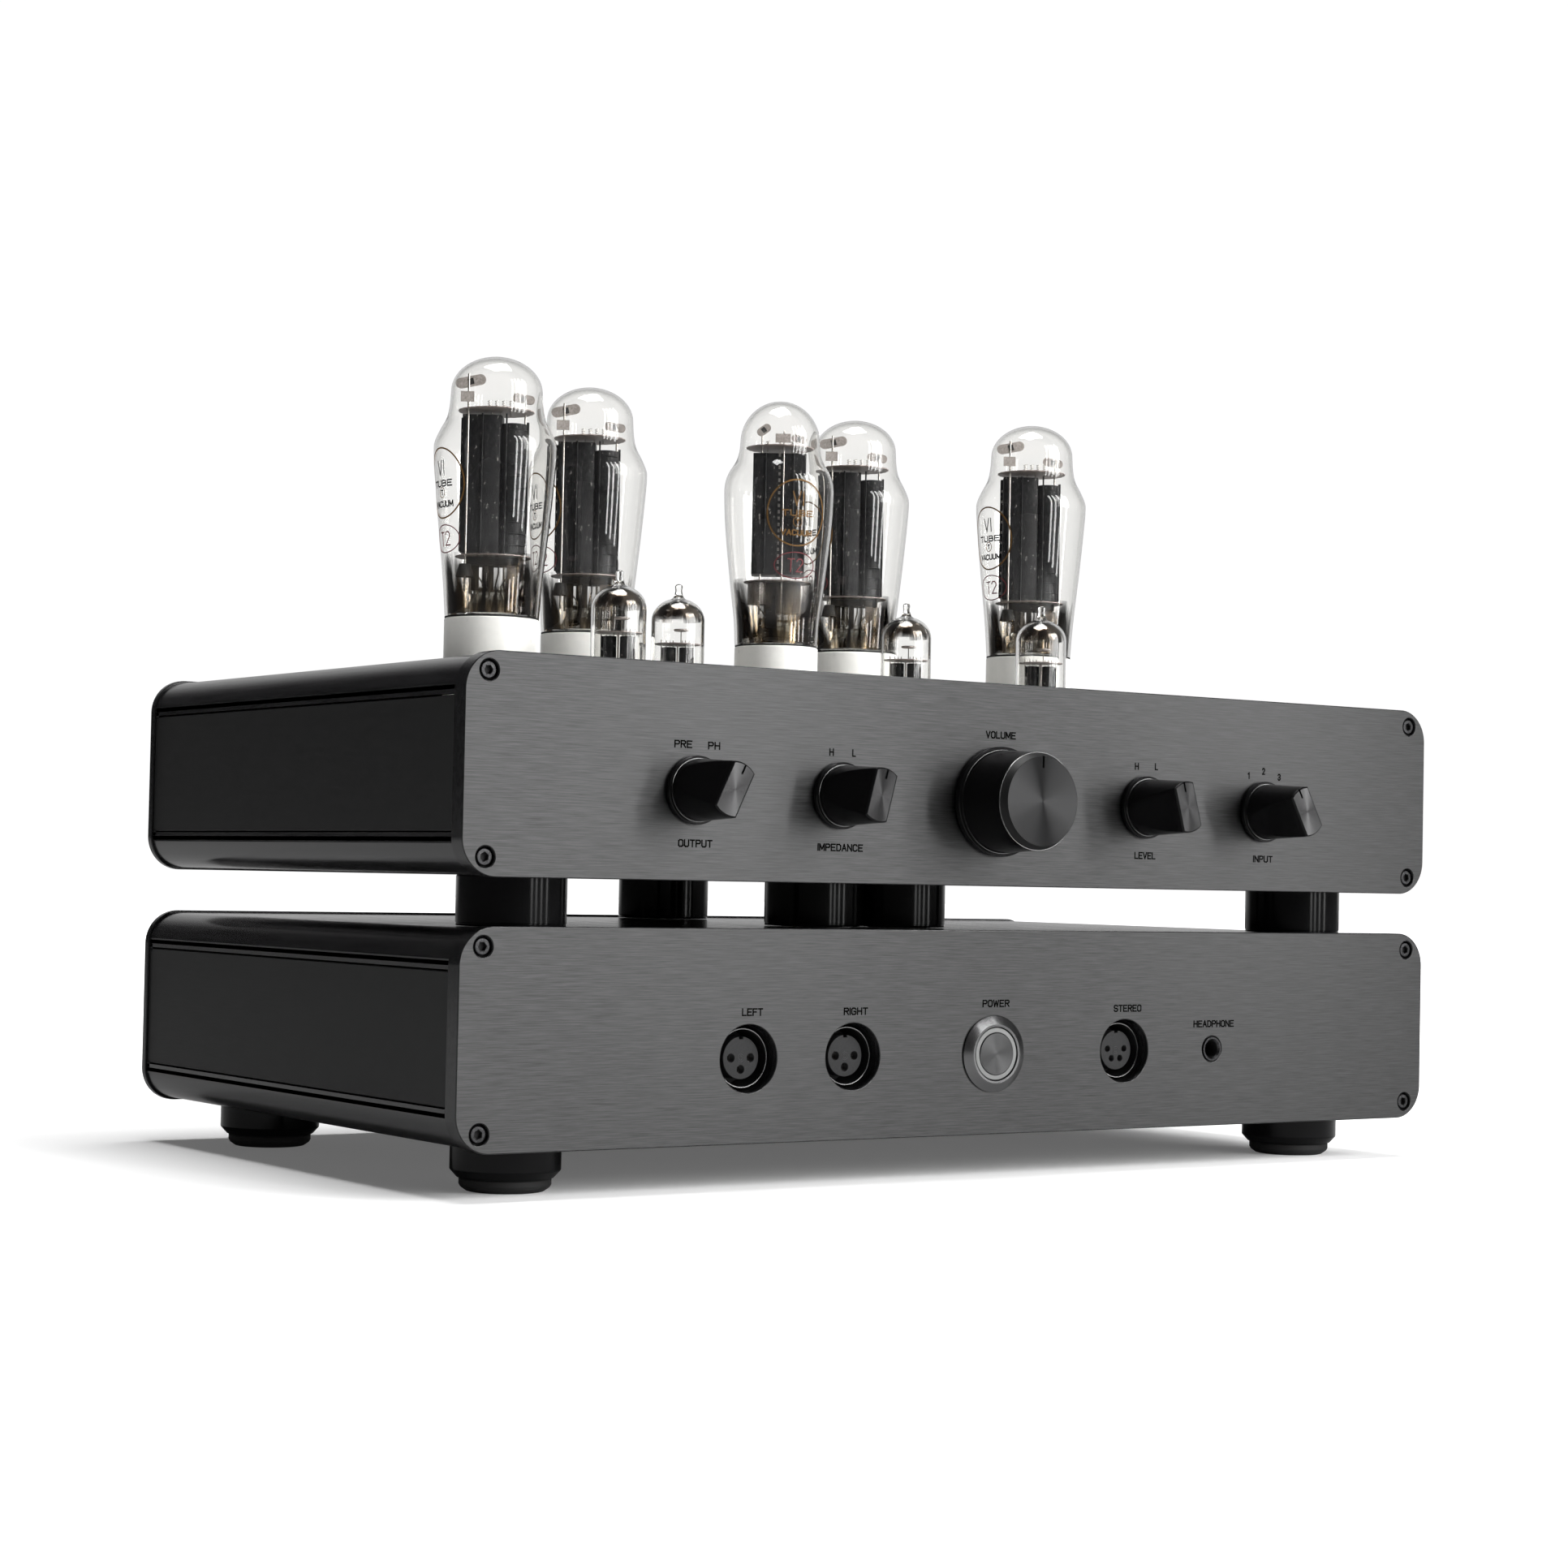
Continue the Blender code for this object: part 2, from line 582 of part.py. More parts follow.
def build_controls(finishes):
    small = knob_profile(FLANGE_RADIUS, KNOB_FLANGE, KNOB_BASE_RADIUS, KNOB_RIM_RADIUS, KNOB_CHAMFER,
                         KNOB_LENGTH)
    face = KNOB_RIM_RADIUS - KNOB_CHAMFER[0]
    for name, (x, angle) in SMALL_KNOBS.items():
        spot = (x, FRONT_Y, KNOB_Z)
        knob = turned(f"{name}_knob", small, spot, finishes["knob"], forward=True, turn=angle)
        bpy.context.view_layer.update()
        cut(knob, flat_tool(knob, 1), flat_tool(knob, -1), pointer_slot(knob, KNOB_LENGTH, face))
        shade_round(knob)
    large = knob_profile(VOLUME_FLANGE_RADIUS, VOLUME_FLANGE, VOLUME_BASE_RADIUS, VOLUME_RIM_RADIUS,
                         VOLUME_CHAMFER, VOLUME_LENGTH)
    volume = turned("volume_knob", large, (VOLUME_X, FRONT_Y, KNOB_Z), finishes["knob"], forward=True)
    bpy.context.view_layer.update()
    cut(volume, pointer_slot(volume, VOLUME_LENGTH, VOLUME_RIM_RADIUS - VOLUME_CHAMFER[0]))
    shade_round(volume)
    shafts = {name: x for name, (x, _) in SMALL_KNOBS.items()}
    shafts["volume"] = VOLUME_X
    rod = rod_profile(SHAFT_RADIUS, -SHAFT_BEHIND, SHAFT_IN_KNOB)
    bodies = []
    bores = []
    back = SWITCH_FRONT + SWITCH_LENGTH
    for name, x in shafts.items():
        spot = (x, FRONT_Y, KNOB_Z)
        shade_round(turned(f"{name}_shaft", rod, spot, finishes["steel"], sides=SMALL_SIDES, forward=True))
        radius = VOLUME_SWITCH_RADIUS if name == "volume" else SWITCH_RADIUS
        body = rod_profile(radius, -back, -SWITCH_FRONT)
        bodies.append(turned(f"{name}_switch", body, spot, sides=SMALL_SIDES, forward=True,
                             collection=CUTTERS))
        bore = rod_profile(SHAFT_RADIUS + FIT_GAP, -SHAFT_BEHIND - FIT_GAP, 0.0)
        bores.append(turned(f"{name}_bore", bore, spot, sides=SMALL_SIDES, forward=True, collection=CUTTERS))
    board_front = FRONT_Y + back - OVERLAP
    half_width, half_height = CONTROL_BOARD_HALF
    board = box("control_board", (-half_width, board_front, KNOB_Z - half_height),
                (half_width, board_front + BOARD_THICKNESS, KNOB_Z + half_height), finishes["board"])
    fuse(board, *bodies)
    cut(board, *bores)


# Front sockets and the power switch


def build_front_sockets(finishes):
    shell = XLR_HOLE_RADIUS - FIT_GAP
    profile = [(0.0, -XLR_FACE_DEPTH), (XLR_INSERT_RADIUS, -XLR_FACE_DEPTH),
               (XLR_INSERT_RADIUS, -XLR_GAP_DEPTH),
               (XLR_BORE_RADIUS, -XLR_GAP_DEPTH), (XLR_BORE_RADIUS, -XLR_RIM_DEPTH), (shell, -XLR_RIM_DEPTH),
               (shell, -XLR_BODY_DEPTH), (0.0, -XLR_BODY_DEPTH)]
    for name, x in XLR_X.items():
        socket = turned(f"xlr_socket_{name}", profile, (x, FRONT_Y, SOCKET_Z), finishes["plastic"],
                        forward=True)
        holes = []
        for i, degrees in enumerate(XLR_PIN_ANGLES[name]):
            angle = math.radians(degrees)
            spot = (x + XLR_PIN_CIRCLE * math.cos(angle), FRONT_Y,
                    SOCKET_Z + XLR_PIN_CIRCLE * math.sin(angle))
            hole = rod_profile(XLR_PIN_RADIUS, -XLR_PIN_DEPTH, 0.0)
            holes.append(turned(f"{socket.name}_pin_{i}", hole, spot, sides=8, forward=True,
                                collection=CUTTERS))
        cut(socket, *holes)
        shade_round(socket)
    nose = JACK_HOLE_RADIUS - FIT_GAP
    body_front = FRONT_THICKNESS + FIT_GAP
    bore_end = JACK_END_WALL - JACK_DEPTH
    jack = [(0.0, bore_end), (JACK_BORE_RADIUS, bore_end), (JACK_BORE_RADIUS, -JACK_NOSE_DEPTH),
            (nose, -JACK_NOSE_DEPTH), (nose, -body_front), (JACK_BODY_RADIUS, -body_front),
            (JACK_BODY_RADIUS, -JACK_DEPTH), (0.0, -JACK_DEPTH)]
    shade_round(turned("headphone_jack", jack, (JACK_X, FRONT_Y, SOCKET_Z), finishes["plastic"],
                       sides=TUBE_SIDES, forward=True))
    barrel = POWER_HOLE_RADIUS - FIT_GAP
    well = BUTTON_RADIUS + FIT_GAP
    body = [(0.0, -BUTTON_WELL_DEPTH), (well, -BUTTON_WELL_DEPTH), (well, POWER_PROUD),
            (POWER_LIP_RADIUS, POWER_PROUD), (POWER_BEZEL_RADIUS, FIT_GAP), (barrel, FIT_GAP),
            (barrel, -POWER_BODY_DEPTH), (0.0, -POWER_BODY_DEPTH)]
    spot = (POWER_X, FRONT_Y, SOCKET_Z)
    shade_round(turned("power_switch_body", body, spot, finishes["steel"], forward=True))
    cap = rod_profile(BUTTON_RADIUS, -BUTTON_DEPTH, BUTTON_PROUD)
    shade_round(turned("power_button", cap, spot, finishes["steel"], forward=True))


# Tubes


def ease(t):
    return t * t * (3 - 2 * t)


def between(a, b, count, blend=ease):
    """Points from a to b whose radius follows an easing curve while the height changes evenly."""
    points = []
    for i in range(1, count + 1):
        t = i / count
        points.append((a[0] + (b[0] - a[0]) * blend(t), a[1] + (b[1] - a[1]) * t))
    return points


def dome(radius, base, top, count):
    angles = [math.pi / 2 * (1 - i / count) for i in range(count + 1)]
    return [(radius * math.cos(a) if i else 0.0, base + (top - base) * math.sin(a))
            for i, a in enumerate(angles)]


def bulb_side(glass, wall, counts):
    """One side of the bulb from its top down to its foot, drawn in by the wall's thickness."""
    waist = (glass["waist"][0] - wall, glass["waist"][1])
    shoulder = (glass["shoulder"][0] - wall, glass["shoulder"][1])
    foot = (glass["foot"][0] - wall, glass["foot"][1] + wall)
    domed, flared, tapered = counts
    points = dome(waist[0], glass["dome"], glass["top"] - wall, domed)
    points += [waist]
    points += between(waist, shoulder, flared)
    points += between(shoulder, foot, tapered, lambda t: math.sin(t * math.pi / 2) ** 1.4)
    return points


def bulb_profile(glass):
    neck = glass["foot"][0] - BASE_WALL - FIT_GAP
    bottom = glass["foot"][1]
    outer = bulb_side(glass, 0.0, (4, 3, 3))
    inner = bulb_side(glass, GLASS_WALL, (3, 2, 2))
    stem = [(neck, bottom), (neck, bottom - NECK_LENGTH),
            (neck - GLASS_WALL, bottom - NECK_LENGTH), (neck - GLASS_WALL, bottom + GLASS_WALL)]
    return outer + stem + inner[::-1]


def tube_base(name, glass, spot, pins, finish):
    radius = glass["foot"][0] - BASE_INSET
    top = glass["foot"][1] - FIT_GAP
    cup = top - NECK_LENGTH - OVERLAP
    bore = glass["foot"][0] - BASE_WALL
    profile = [(0.0, cup), (bore, cup), (bore, top), (radius, top), (radius, -BASE_DEPTH), (0.0, -BASE_DEPTH)]
    base = turned(name, profile, place(spot, DECK_Z), finish, sides=TUBE_SIDES)
    rods = []
    count, circle_radius, pin_radius = pins
    for i in range(count):
        angle = math.pi * (2 * i + 1) / count
        x = spot[0] + circle_radius * math.cos(angle)
        back = spot[1] + circle_radius * math.sin(angle)
        pin = rod_profile(pin_radius, -BASE_DEPTH - PIN_LENGTH, OVERLAP - BASE_DEPTH)
        rods.append(turned(f"{name}_pin_{i}", pin, place((x, back), DECK_Z), sides=8, collection=CUTTERS))
    fuse(base, *rods)
    shade_round(base)


def build_tubes(finishes):
    kinds = [(name, spot, POWER_GLASS, POWER_PINS) for name, spot in POWER_TUBES.items()]
    kinds.append(("rectifier", RECTIFIER_PLACE, RECTIFIER_GLASS, RECTIFIER_PINS))
    for name, spot, glass, pins in kinds:
        bulb = turned(f"{name}_glass", bulb_profile(glass), place(spot, DECK_Z), finishes["glass"],
                      sides=TUBE_SIDES)
        shade_round(bulb)
        tube_base(f"{name}_base", glass, spot, pins, finishes["ceramic"])
    wall = DRIVER_WALL
    outer = ([(0.0, DRIVER_TIP), (0.8 * MM, DRIVER_TIP - 0.6 * MM), (1.4 * MM, DRIVER_TOP + 1.4 * MM),
              (3.2 * MM, DRIVER_TOP - 0.4 * MM)]
             + dome(DRIVER_RADIUS, DRIVER_DOME, DRIVER_TOP, 4)[2:] + [(DRIVER_RADIUS, -DRIVER_SINK)])
    inner = dome(DRIVER_RADIUS - wall, DRIVER_DOME, DRIVER_TOP - wall, 3)
    inner.append((DRIVER_RADIUS - wall, -DRIVER_SINK))
    for name, spot in DRIVER_TUBES.items():
        shade_round(turned(name, outer + inner[::-1], place(spot, DECK_Z), finishes["glass"],
                           sides=SMALL_SIDES))


def build_socket_deck(finishes):
    top = SOCKET_BOARD_Z + BOARD_THICKNESS
    near, far = SOCKET_BOARD_BACK
    board = box("tube_socket_deck", place((-SOCKET_BOARD_HALF, near), SOCKET_BOARD_Z),
                place((SOCKET_BOARD_HALF, far), top), finishes["board"])
    big_top = DECK_Z - BASE_DEPTH - FIT_GAP
    small_top = DECK_Z - DRIVER_SINK - FIT_GAP
    sockets = [(spot, BIG_SOCKET, big_top) for spot in (*POWER_TUBES.values(), RECTIFIER_PLACE)]
    sockets += [(spot, SMALL_SOCKET, small_top) for spot in DRIVER_TUBES.values()]
    bodies = []
    bores = []
    for i, (spot, (radius, bore), height) in enumerate(sockets):
        body = rod_profile(radius, SOCKET_BOARD_Z + OVERLAP, height)
        bodies.append(turned(f"tube_socket_{i}", body, place(spot, 0.0), sides=SMALL_SIDES,
                             collection=CUTTERS))
        hole = rod_profile(bore, SOCKET_BOARD_Z - OVERLAP, height + OVERLAP)
        bores.append(turned(f"tube_socket_bore_{i}", hole, place(spot, 0.0), sides=SMALL_SIDES,
                            collection=CUTTERS))
    fuse(board, *bodies)
    cut(board, *bores)


# Inside the tiers and at the rear


def soften(obj, width):
    bevel = obj.modifiers.new("Edges", "BEVEL")
    bevel.width = width
    bevel.segments = 2


def build_power_supply(finishes):
    floor = LOWER_Z + BODY_INSET + WALL + FIT_GAP
    radius, height, edge = TRANSFORMER_RADIUS, TRANSFORMER_HEIGHT, TRANSFORMER_EDGE
    boss, boss_top = TRANSFORMER_BOSS
    can = [(0.0, boss_top), (boss, boss_top), (boss, height), (radius - edge, height),
           (radius, height - edge),
           (radius, edge), (radius - edge, 0.0), (0.0, 0.0)]
    shade_round(turned("power_transformer", can, place(TRANSFORMER_PLACE, floor), finishes["core"]))
    choke = box("filter_choke", place((CHOKE_X[0], CHOKE_BACK[0]), floor),
                place((CHOKE_X[1], CHOKE_BACK[1]), floor + CHOKE_HEIGHT), finishes["core"])
    soften(choke, CASE_EDGE)
    board_z = floor + SUPPLY_BOARD_LIFT
    board = box("supply_board", place((SUPPLY_BOARD_X[0], SUPPLY_BOARD_BACK[0]), board_z),
                place((SUPPLY_BOARD_X[1], SUPPLY_BOARD_BACK[1]), board_z + BOARD_THICKNESS),
                finishes["board"])
    profile = rod_profile(CAPACITOR_RADIUS, board_z + OVERLAP, board_z + CAPACITOR_HEIGHT)
    spots = [(x, back) for back in CAPACITOR_ROWS for x in CAPACITOR_COLUMNS]
    fuse(board, *[turned(f"capacitor_{i}", profile, place(spot, 0.0), sides=SMALL_SIDES, collection=CUTTERS)
                  for i, spot in enumerate(spots)])


def build_output_transformers(finishes):
    floor = UPPER_Z + BODY_INSET + WALL + FIT_GAP
    near, far = OUTPUT_BACK
    for side, x in (("left", -OUTPUT_X), ("right", OUTPUT_X)):
        low = place((x - OUTPUT_HALF_WIDTH, near), floor)
        high = place((x + OUTPUT_HALF_WIDTH, far), floor + OUTPUT_HEIGHT)
        soften(box(f"output_transformer_{side}", low, high, finishes["core"]), CASE_EDGE)


def phono_spots():
    start = -JACK_PITCH * (JACK_COUNT - 1) / 2
    return [(start + JACK_PITCH * i, JACK_BLOCK_Z) for i in range(JACK_COUNT)]


def build_rear_fittings(finishes):
    inner = REAR_Y - REAR_THICKNESS - FIT_GAP
    outer = REAR_Y + REAR_REACH
    half = JACK_PITCH * JACK_COUNT / 2
    block = box("signal_jack_block", (-half, inner - JACK_BLOCK_DEPTH, JACK_BLOCK_Z - JACK_BLOCK_HALF_HEIGHT),
                (half, inner, JACK_BLOCK_Z + JACK_BLOCK_HALF_HEIGHT), finishes["plastic"])
    barrels = []
    bores = []
    for i, (x, z) in enumerate(phono_spots()):
        barrel = rod_profile(PHONO_BARREL_RADIUS, inner - outer - OVERLAP, 0.0)
        bore = rod_profile(PHONO_BORE_RADIUS, -PHONO_BORE_DEPTH, OVERLAP)
        spot = (x, outer, z)
        for made, profile, kind, sides in ((barrels, barrel, "barrel", 10), (bores, bore, "bore", 6)):
            rod = turned(f"phono_{kind}_{i}", profile, (0, 0, 0), sides=sides, collection=CUTTERS)
            rod.matrix_world = Matrix.Translation(spot) @ Matrix.Rotation(-math.pi / 2, 4, "X")
            made.append(rod)
    fuse(block, *barrels)
    cut(block, *bores)
    centre = (INLET_X, INLET_Z)
    body_size = (INLET_HOLE[0] - 2 * FIT_GAP, INLET_HOLE[1] - 2 * FIT_GAP)
    face = REAR_Y + FIT_GAP + INLET_FLANGE_THICKNESS
    inlet = outline_solid("mains_inlet", [rectangle(centre, *INLET_FLANGE)], REAR_Y + FIT_GAP, face,
                          finishes["plastic"])
    fuse(inlet, outline_solid("inlet_body", [rectangle(centre, *body_size)], REAR_Y - INLET_BODY_DEPTH,
                              REAR_Y + FIT_GAP + OVERLAP, collection=CUTTERS))
    floor = face - INLET_CAVITY_DEPTH
    cut(inlet, outline_solid("inlet_cavity", [rectangle(centre, *INLET_CAVITY)], floor, face + OVERLAP,
                             collection=CUTTERS))
    thick, tall, long = INLET_PIN
    pins = []
    for i, (x, z) in enumerate(INLET_PIN_SPOTS):
        low = (INLET_X + x - thick / 2, floor - OVERLAP, INLET_Z + z - tall / 2)
        high = (INLET_X + x + thick / 2, floor + long, INLET_Z + z + tall / 2)
        pins.append(box(f"inlet_pin_{i}", low, high, collection=CUTTERS))
    boolean(inlet, merged("inlet_pins", pins), "UNION")


def main():
    clear_scene()
    make_collection(SOLIDS)
    make_collection(CUTTERS)
    finishes = {
        "panel": material("brushed_grey_aluminium", (0.17, 0.17, 0.175), 0.38, 0.9),
        "black": material("gloss_black_anodised", (0.012, 0.012, 0.013), 0.25, 0.4),
        "side": material("satin_black_aluminium", (0.02, 0.02, 0.021), 0.5, 0.5),
        "knob": material("black_turned_aluminium", (0.018, 0.018, 0.019), 0.32, 0.7),
        "steel": material("spun_steel", (0.45, 0.45, 0.46), 0.3, 1.0),
        "plastic": material("black_moulding", (0.02, 0.02, 0.02), 0.45),
        "ceramic": material("cream_ceramic", (0.78, 0.75, 0.68), 0.35),
        "glass": material("tube_glass", (0.95, 0.96, 0.95), 0.03, 0.0, 0.95),
        "board": material("circuit_board", (0.02, 0.07, 0.04), 0.6),
        "core": material("transformer_lacquer", (0.03, 0.03, 0.032), 0.5, 0.3),
    }
    build_housings(finishes)
    build_supports(finishes)
    build_controls(finishes)
    build_front_sockets(finishes)
    build_tubes(finishes)
    build_socket_deck(finishes)
    build_power_supply(finishes)
    build_output_transformers(finishes)
    build_rear_fittings(finishes)


main()
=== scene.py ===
import math

import bmesh
import bpy
from mathutils import Matrix, Vector


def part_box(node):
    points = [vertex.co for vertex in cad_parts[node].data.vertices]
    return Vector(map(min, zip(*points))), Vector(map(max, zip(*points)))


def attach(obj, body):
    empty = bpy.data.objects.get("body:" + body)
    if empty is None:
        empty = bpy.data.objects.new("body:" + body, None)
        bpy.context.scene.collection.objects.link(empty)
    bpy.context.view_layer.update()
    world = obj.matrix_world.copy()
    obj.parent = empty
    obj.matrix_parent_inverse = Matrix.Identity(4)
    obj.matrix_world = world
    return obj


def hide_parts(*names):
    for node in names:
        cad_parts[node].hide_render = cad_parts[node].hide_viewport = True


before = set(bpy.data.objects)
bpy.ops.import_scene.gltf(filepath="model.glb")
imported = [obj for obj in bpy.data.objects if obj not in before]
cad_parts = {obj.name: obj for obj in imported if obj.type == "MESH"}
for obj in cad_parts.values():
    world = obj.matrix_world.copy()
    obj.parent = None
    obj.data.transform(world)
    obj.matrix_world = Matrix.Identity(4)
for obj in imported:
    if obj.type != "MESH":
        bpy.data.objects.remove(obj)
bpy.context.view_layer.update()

# Every form below is drawn in millimetres and scaled when it becomes a mesh.
MM = 0.001
ROUND = 96
WELD = 1e-7


def box(node):
    low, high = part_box(node)
    return low / MM, high / MM


def middle(node):
    low, high = box(node)
    return (low + high) / 2


plate_low, plate_high = box("upper_front_plate")
FRONT = plate_low.y
HALF_WIDTH = plate_high.x
UPPER = plate_low.z
LOWER = box("lower_front_plate")[0].z
TIER = plate_high.z - plate_low.z
REAR = box("upper_rear_plate")[1].y
DECK = box("upper_top_cover")[1].z
CORNER = 13.0
WALL = 2.5
FLANGE = 14.4


# Materials


def add_node(tree, kind, inputs=None, **settings):
    """A new node with its settings. Each input is a value, or the socket that feeds it."""
    made = tree.nodes.new(kind)
    for name, value in settings.items():
        setattr(made, name, value)
    for name, value in (inputs or {}).items():
        if isinstance(value, bpy.types.NodeSocket):
            tree.links.new(value, made.inputs[name])
        else:
            made.inputs[name].default_value = value
    return made


class Shader:
    """A Principled material with short calls to add nodes and join them."""

    def __init__(self, name, colour, roughness, metallic=0.0, **sockets):
        self.material = bpy.data.materials.new(name)
        self.material.use_nodes = True
        self.tree = self.material.node_tree
        self.surface = self.tree.nodes["Principled BSDF"]
        self.colour = colour
        self.set("Base Color", (*colour, 1.0))
        self.set("Roughness", roughness)
        self.set("Metallic", metallic)
        for socket, value in sockets.items():
            self.set(socket.replace("_", " "), value)

    def set(self, socket, value):
        self.surface.inputs[socket].default_value = value

    def node(self, kind, inputs=None, **settings):
        return add_node(self.tree, kind, inputs, **settings)

    def feed(self, socket, source):
        self.tree.links.new(source, self.surface.inputs[socket])

    def coordinates(self, scale=(1, 1, 1)):
        place = self.node("ShaderNodeTexCoord").outputs["Object"]
        return self.node("ShaderNodeMapping", {"Vector": place, "Scale": scale}).outputs[0]

    def noise(self, scale, size=1.0, detail=3.0, rough=0.55):
        """Noise read at the object's own coordinates, stretched by scale (a larger number is finer)."""
        settings = {"Vector": self.coordinates(scale), "Scale": size, "Detail": detail, "Roughness": rough}
        return self.node("ShaderNodeTexNoise", settings).outputs[0]

    def spread(self, source, low, high, start=0.3, end=0.7):
        """Takes values between start and end to the range from low to high."""
        inputs = {"Value": source, "From Min": start, "From Max": end, "To Min": low, "To Max": high}
        return self.node("ShaderNodeMapRange", inputs).outputs[0]

    def ramp(self, source, stops):
        made = self.node("ShaderNodeValToRGB", {"Fac": source})
        ramp = made.color_ramp
        while len(ramp.elements) < len(stops):
            ramp.elements.new(0.5)
        for element, (position, colour) in zip(ramp.elements, stops):
            element.position = position
            element.color = (*colour, 1.0)
        return made.outputs[0]

    def vary_colour(self, source, low=0.85, high=1.15):
        """Scales the base colour by a factor that follows the source."""
        dark = tuple(c * low for c in self.colour)
        light = tuple(min(c * high, 1.0) for c in self.colour)
        self.feed("Base Color", self.ramp(source, [(0.3, dark), (0.7, light)]))
        return self

    def vary_roughness(self, source, low, high):
        self.feed("Roughness", self.spread(source, low, high))
        return self

    def bump(self, source, distance, strength=0.5):
        inputs = {"Height": source, "Distance": distance * MM, "Strength": strength}
        self.feed("Normal", self.node("ShaderNodeBump", inputs).outputs[0])
        return self


def brushed(name, colour, roughness, metallic, grain, contrast=0.12, **sockets):
    """Metal brushed along one axis: grain is how fine the streaks are along X, Y and Z, per metre."""
    made = Shader(name, colour, roughness, metallic, **sockets)
    if "Anisotropic" in sockets:
        made.feed("Tangent", made.node("ShaderNodeTangent", direction_type="RADIAL", axis="X").outputs[0])
    streaks = made.noise(grain, detail=4.0, rough=0.65)
    made.vary_colour(streaks, 1 - contrast, 1 + contrast)
    made.vary_roughness(streaks, roughness - 0.05, roughness + 0.05)
    return made.bump(streaks, 0.02, 0.25).material


def turned_metal(name, colour, roughness, metallic, fineness=4000.0, **sockets):
    """Metal cut on a lathe: fine rings round the piece's own Z axis."""
    made = Shader(name, colour, roughness, metallic, **sockets)
    rings = made.noise((0, 0, fineness), detail=2.0)
    made.vary_colour(rings, 0.9, 1.1)
    made.vary_roughness(rings, roughness - 0.04, roughness + 0.04)
    return made.bump(rings, 0.01, 0.2).material


def spun_face(name, colour, roughness, strength):
    """A face cut on a lathe, whose rings spread each light into a fan from the centre."""
    made = Shader(name, colour, roughness, 1.0, Anisotropic=strength, Anisotropic_Rotation=0.25)
    place = made.coordinates()
    flat = made.node("ShaderNodeVectorMath", {0: place, 1: (1, 1, 0)}, operation="MULTIPLY").outputs[0]
    length = made.node("ShaderNodeVectorMath", {0: flat}, operation="LENGTH").outputs["Value"]
    rings = made.node("ShaderNodeTexNoise", {"W": length, "Scale": 9000.0}, noise_dimensions="1D").outputs[0]
    made.vary_colour(rings, 0.85, 1.15)
    made.feed("Tangent", made.node("ShaderNodeTangent", direction_type="RADIAL", axis="Z").outputs[0])
    return made.bump(rings, 0.004, 0.15).material


def speckled(name, colour, roughness, metallic=0.0, grain=900.0, contrast=0.15, depth=0.02, **sockets):
    """A plain moulded, cast or coated surface with a fine even grain."""
    made = Shader(name, colour, roughness, metallic, **sockets)
    grains = made.noise((grain,) * 3, detail=3.0)
    made.vary_colour(grains, 1 - contrast, 1 + contrast)
    made.vary_roughness(grains, max(roughness - 0.05, 0.02), roughness + 0.06)
    return made.bump(grains, depth, 0.3).material


def clear_glass(name, tint=(1.0, 1.0, 1.0)):
    """Blown glass that lets lamps through, with the faint waves of a hand-worked bulb, and painted shade that
    darkens its colour where the wall is seen edge-on.
    """
    made = Shader(name, tint, 0.0, Transmission_Weight=1.0, IOR=1.4)
    made.bump(made.noise((14, 14, 9), detail=1.0), 0.3, 0.06)
    # Painted shade: the colour darkens towards the outline of the bulb, where the wall is seen side-on.
    edge = made.node("ShaderNodeLayerWeight", {"Blend": 0.5}).outputs["Facing"]
    painted_edge_shades = [tuple(part * c for c in tint) for part in (1.0, 0.92, 0.7, 0.45)]
    made.feed("Base Color", made.ramp(edge, list(zip((0.55, 0.78, 0.93, 1.0), painted_edge_shades))))
    output = made.tree.nodes["Material Output"]
    shadow = made.node("ShaderNodeLightPath").outputs["Is Shadow Ray"]
    open_way = made.node("ShaderNodeBsdfTransparent", {"Color": (0.93, 0.93, 0.93, 1.0)})
    mix = made.node("ShaderNodeMixShader", {0: shadow, 1: made.surface.outputs[0], 2: open_way.outputs[0]})
    made.tree.links.new(mix.outputs[0], output.inputs["Surface"])
    return made.material


def getter_film(name, low, high, colours, strength):
    """The metal mirror that a getter leaves inside the glass, dense at height low and gone at height high."""
    made = Shader(name, colours[0], 0.12, 1.0)
    patches = made.noise((150, 150, 22), detail=3.0)
    height = made.node("ShaderNodeSeparateXYZ", {"Vector": made.coordinates()}).outputs["Z"]
    fade = made.spread(height, strength, 0.0, low * MM, high * MM)
    streak = made.spread(patches, -0.75, 0.6, 0.35, 0.65)
    total = made.node("ShaderNodeMath", {0: fade, 1: streak}, operation="ADD", use_clamp=True).outputs[0]
    closing = made.spread(fade, 0.0, 1.0, 0.0, 0.25)
    made.feed("Alpha", made.node("ShaderNodeMath", {0: total, 1: closing}, operation="MULTIPLY").outputs[0])
    made.feed("Base Color", made.ramp(patches, [(0.40, colours[2]), (0.48, colours[1]), (0.56, colours[0])]))
    return made.material


def carbonised(name):
    """Black coated sheet metal with fine bright specks in its colour."""
    made = Shader(name, (0.008, 0.008, 0.009), 0.34, Specular_IOR_Level=0.1)
    flakes = made.noise((850, 850, 420), detail=4.0, rough=0.6)
    smear = made.noise((120, 120, 30), detail=2.0)
    made.vary_roughness(smear, 0.26, 0.5)
    dark, dull, bright = (0.006, 0.006, 0.0065), (0.015, 0.015, 0.0155), (0.2, 0.19, 0.18)
    made.feed("Base Color", made.ramp(flakes, [(0.35, dark), (0.58, dull), (0.645, dull), (0.68, bright)]))
    return made.bump(flakes, 0.05, 0.4).material


PANEL_GRAIN = (75, 75, 2500)
SIDE_GRAIN = (400, 90, 2600)
DECK_GRAIN = (90, 2200, 400)
COVER_GRAIN = (500, 25, 500)

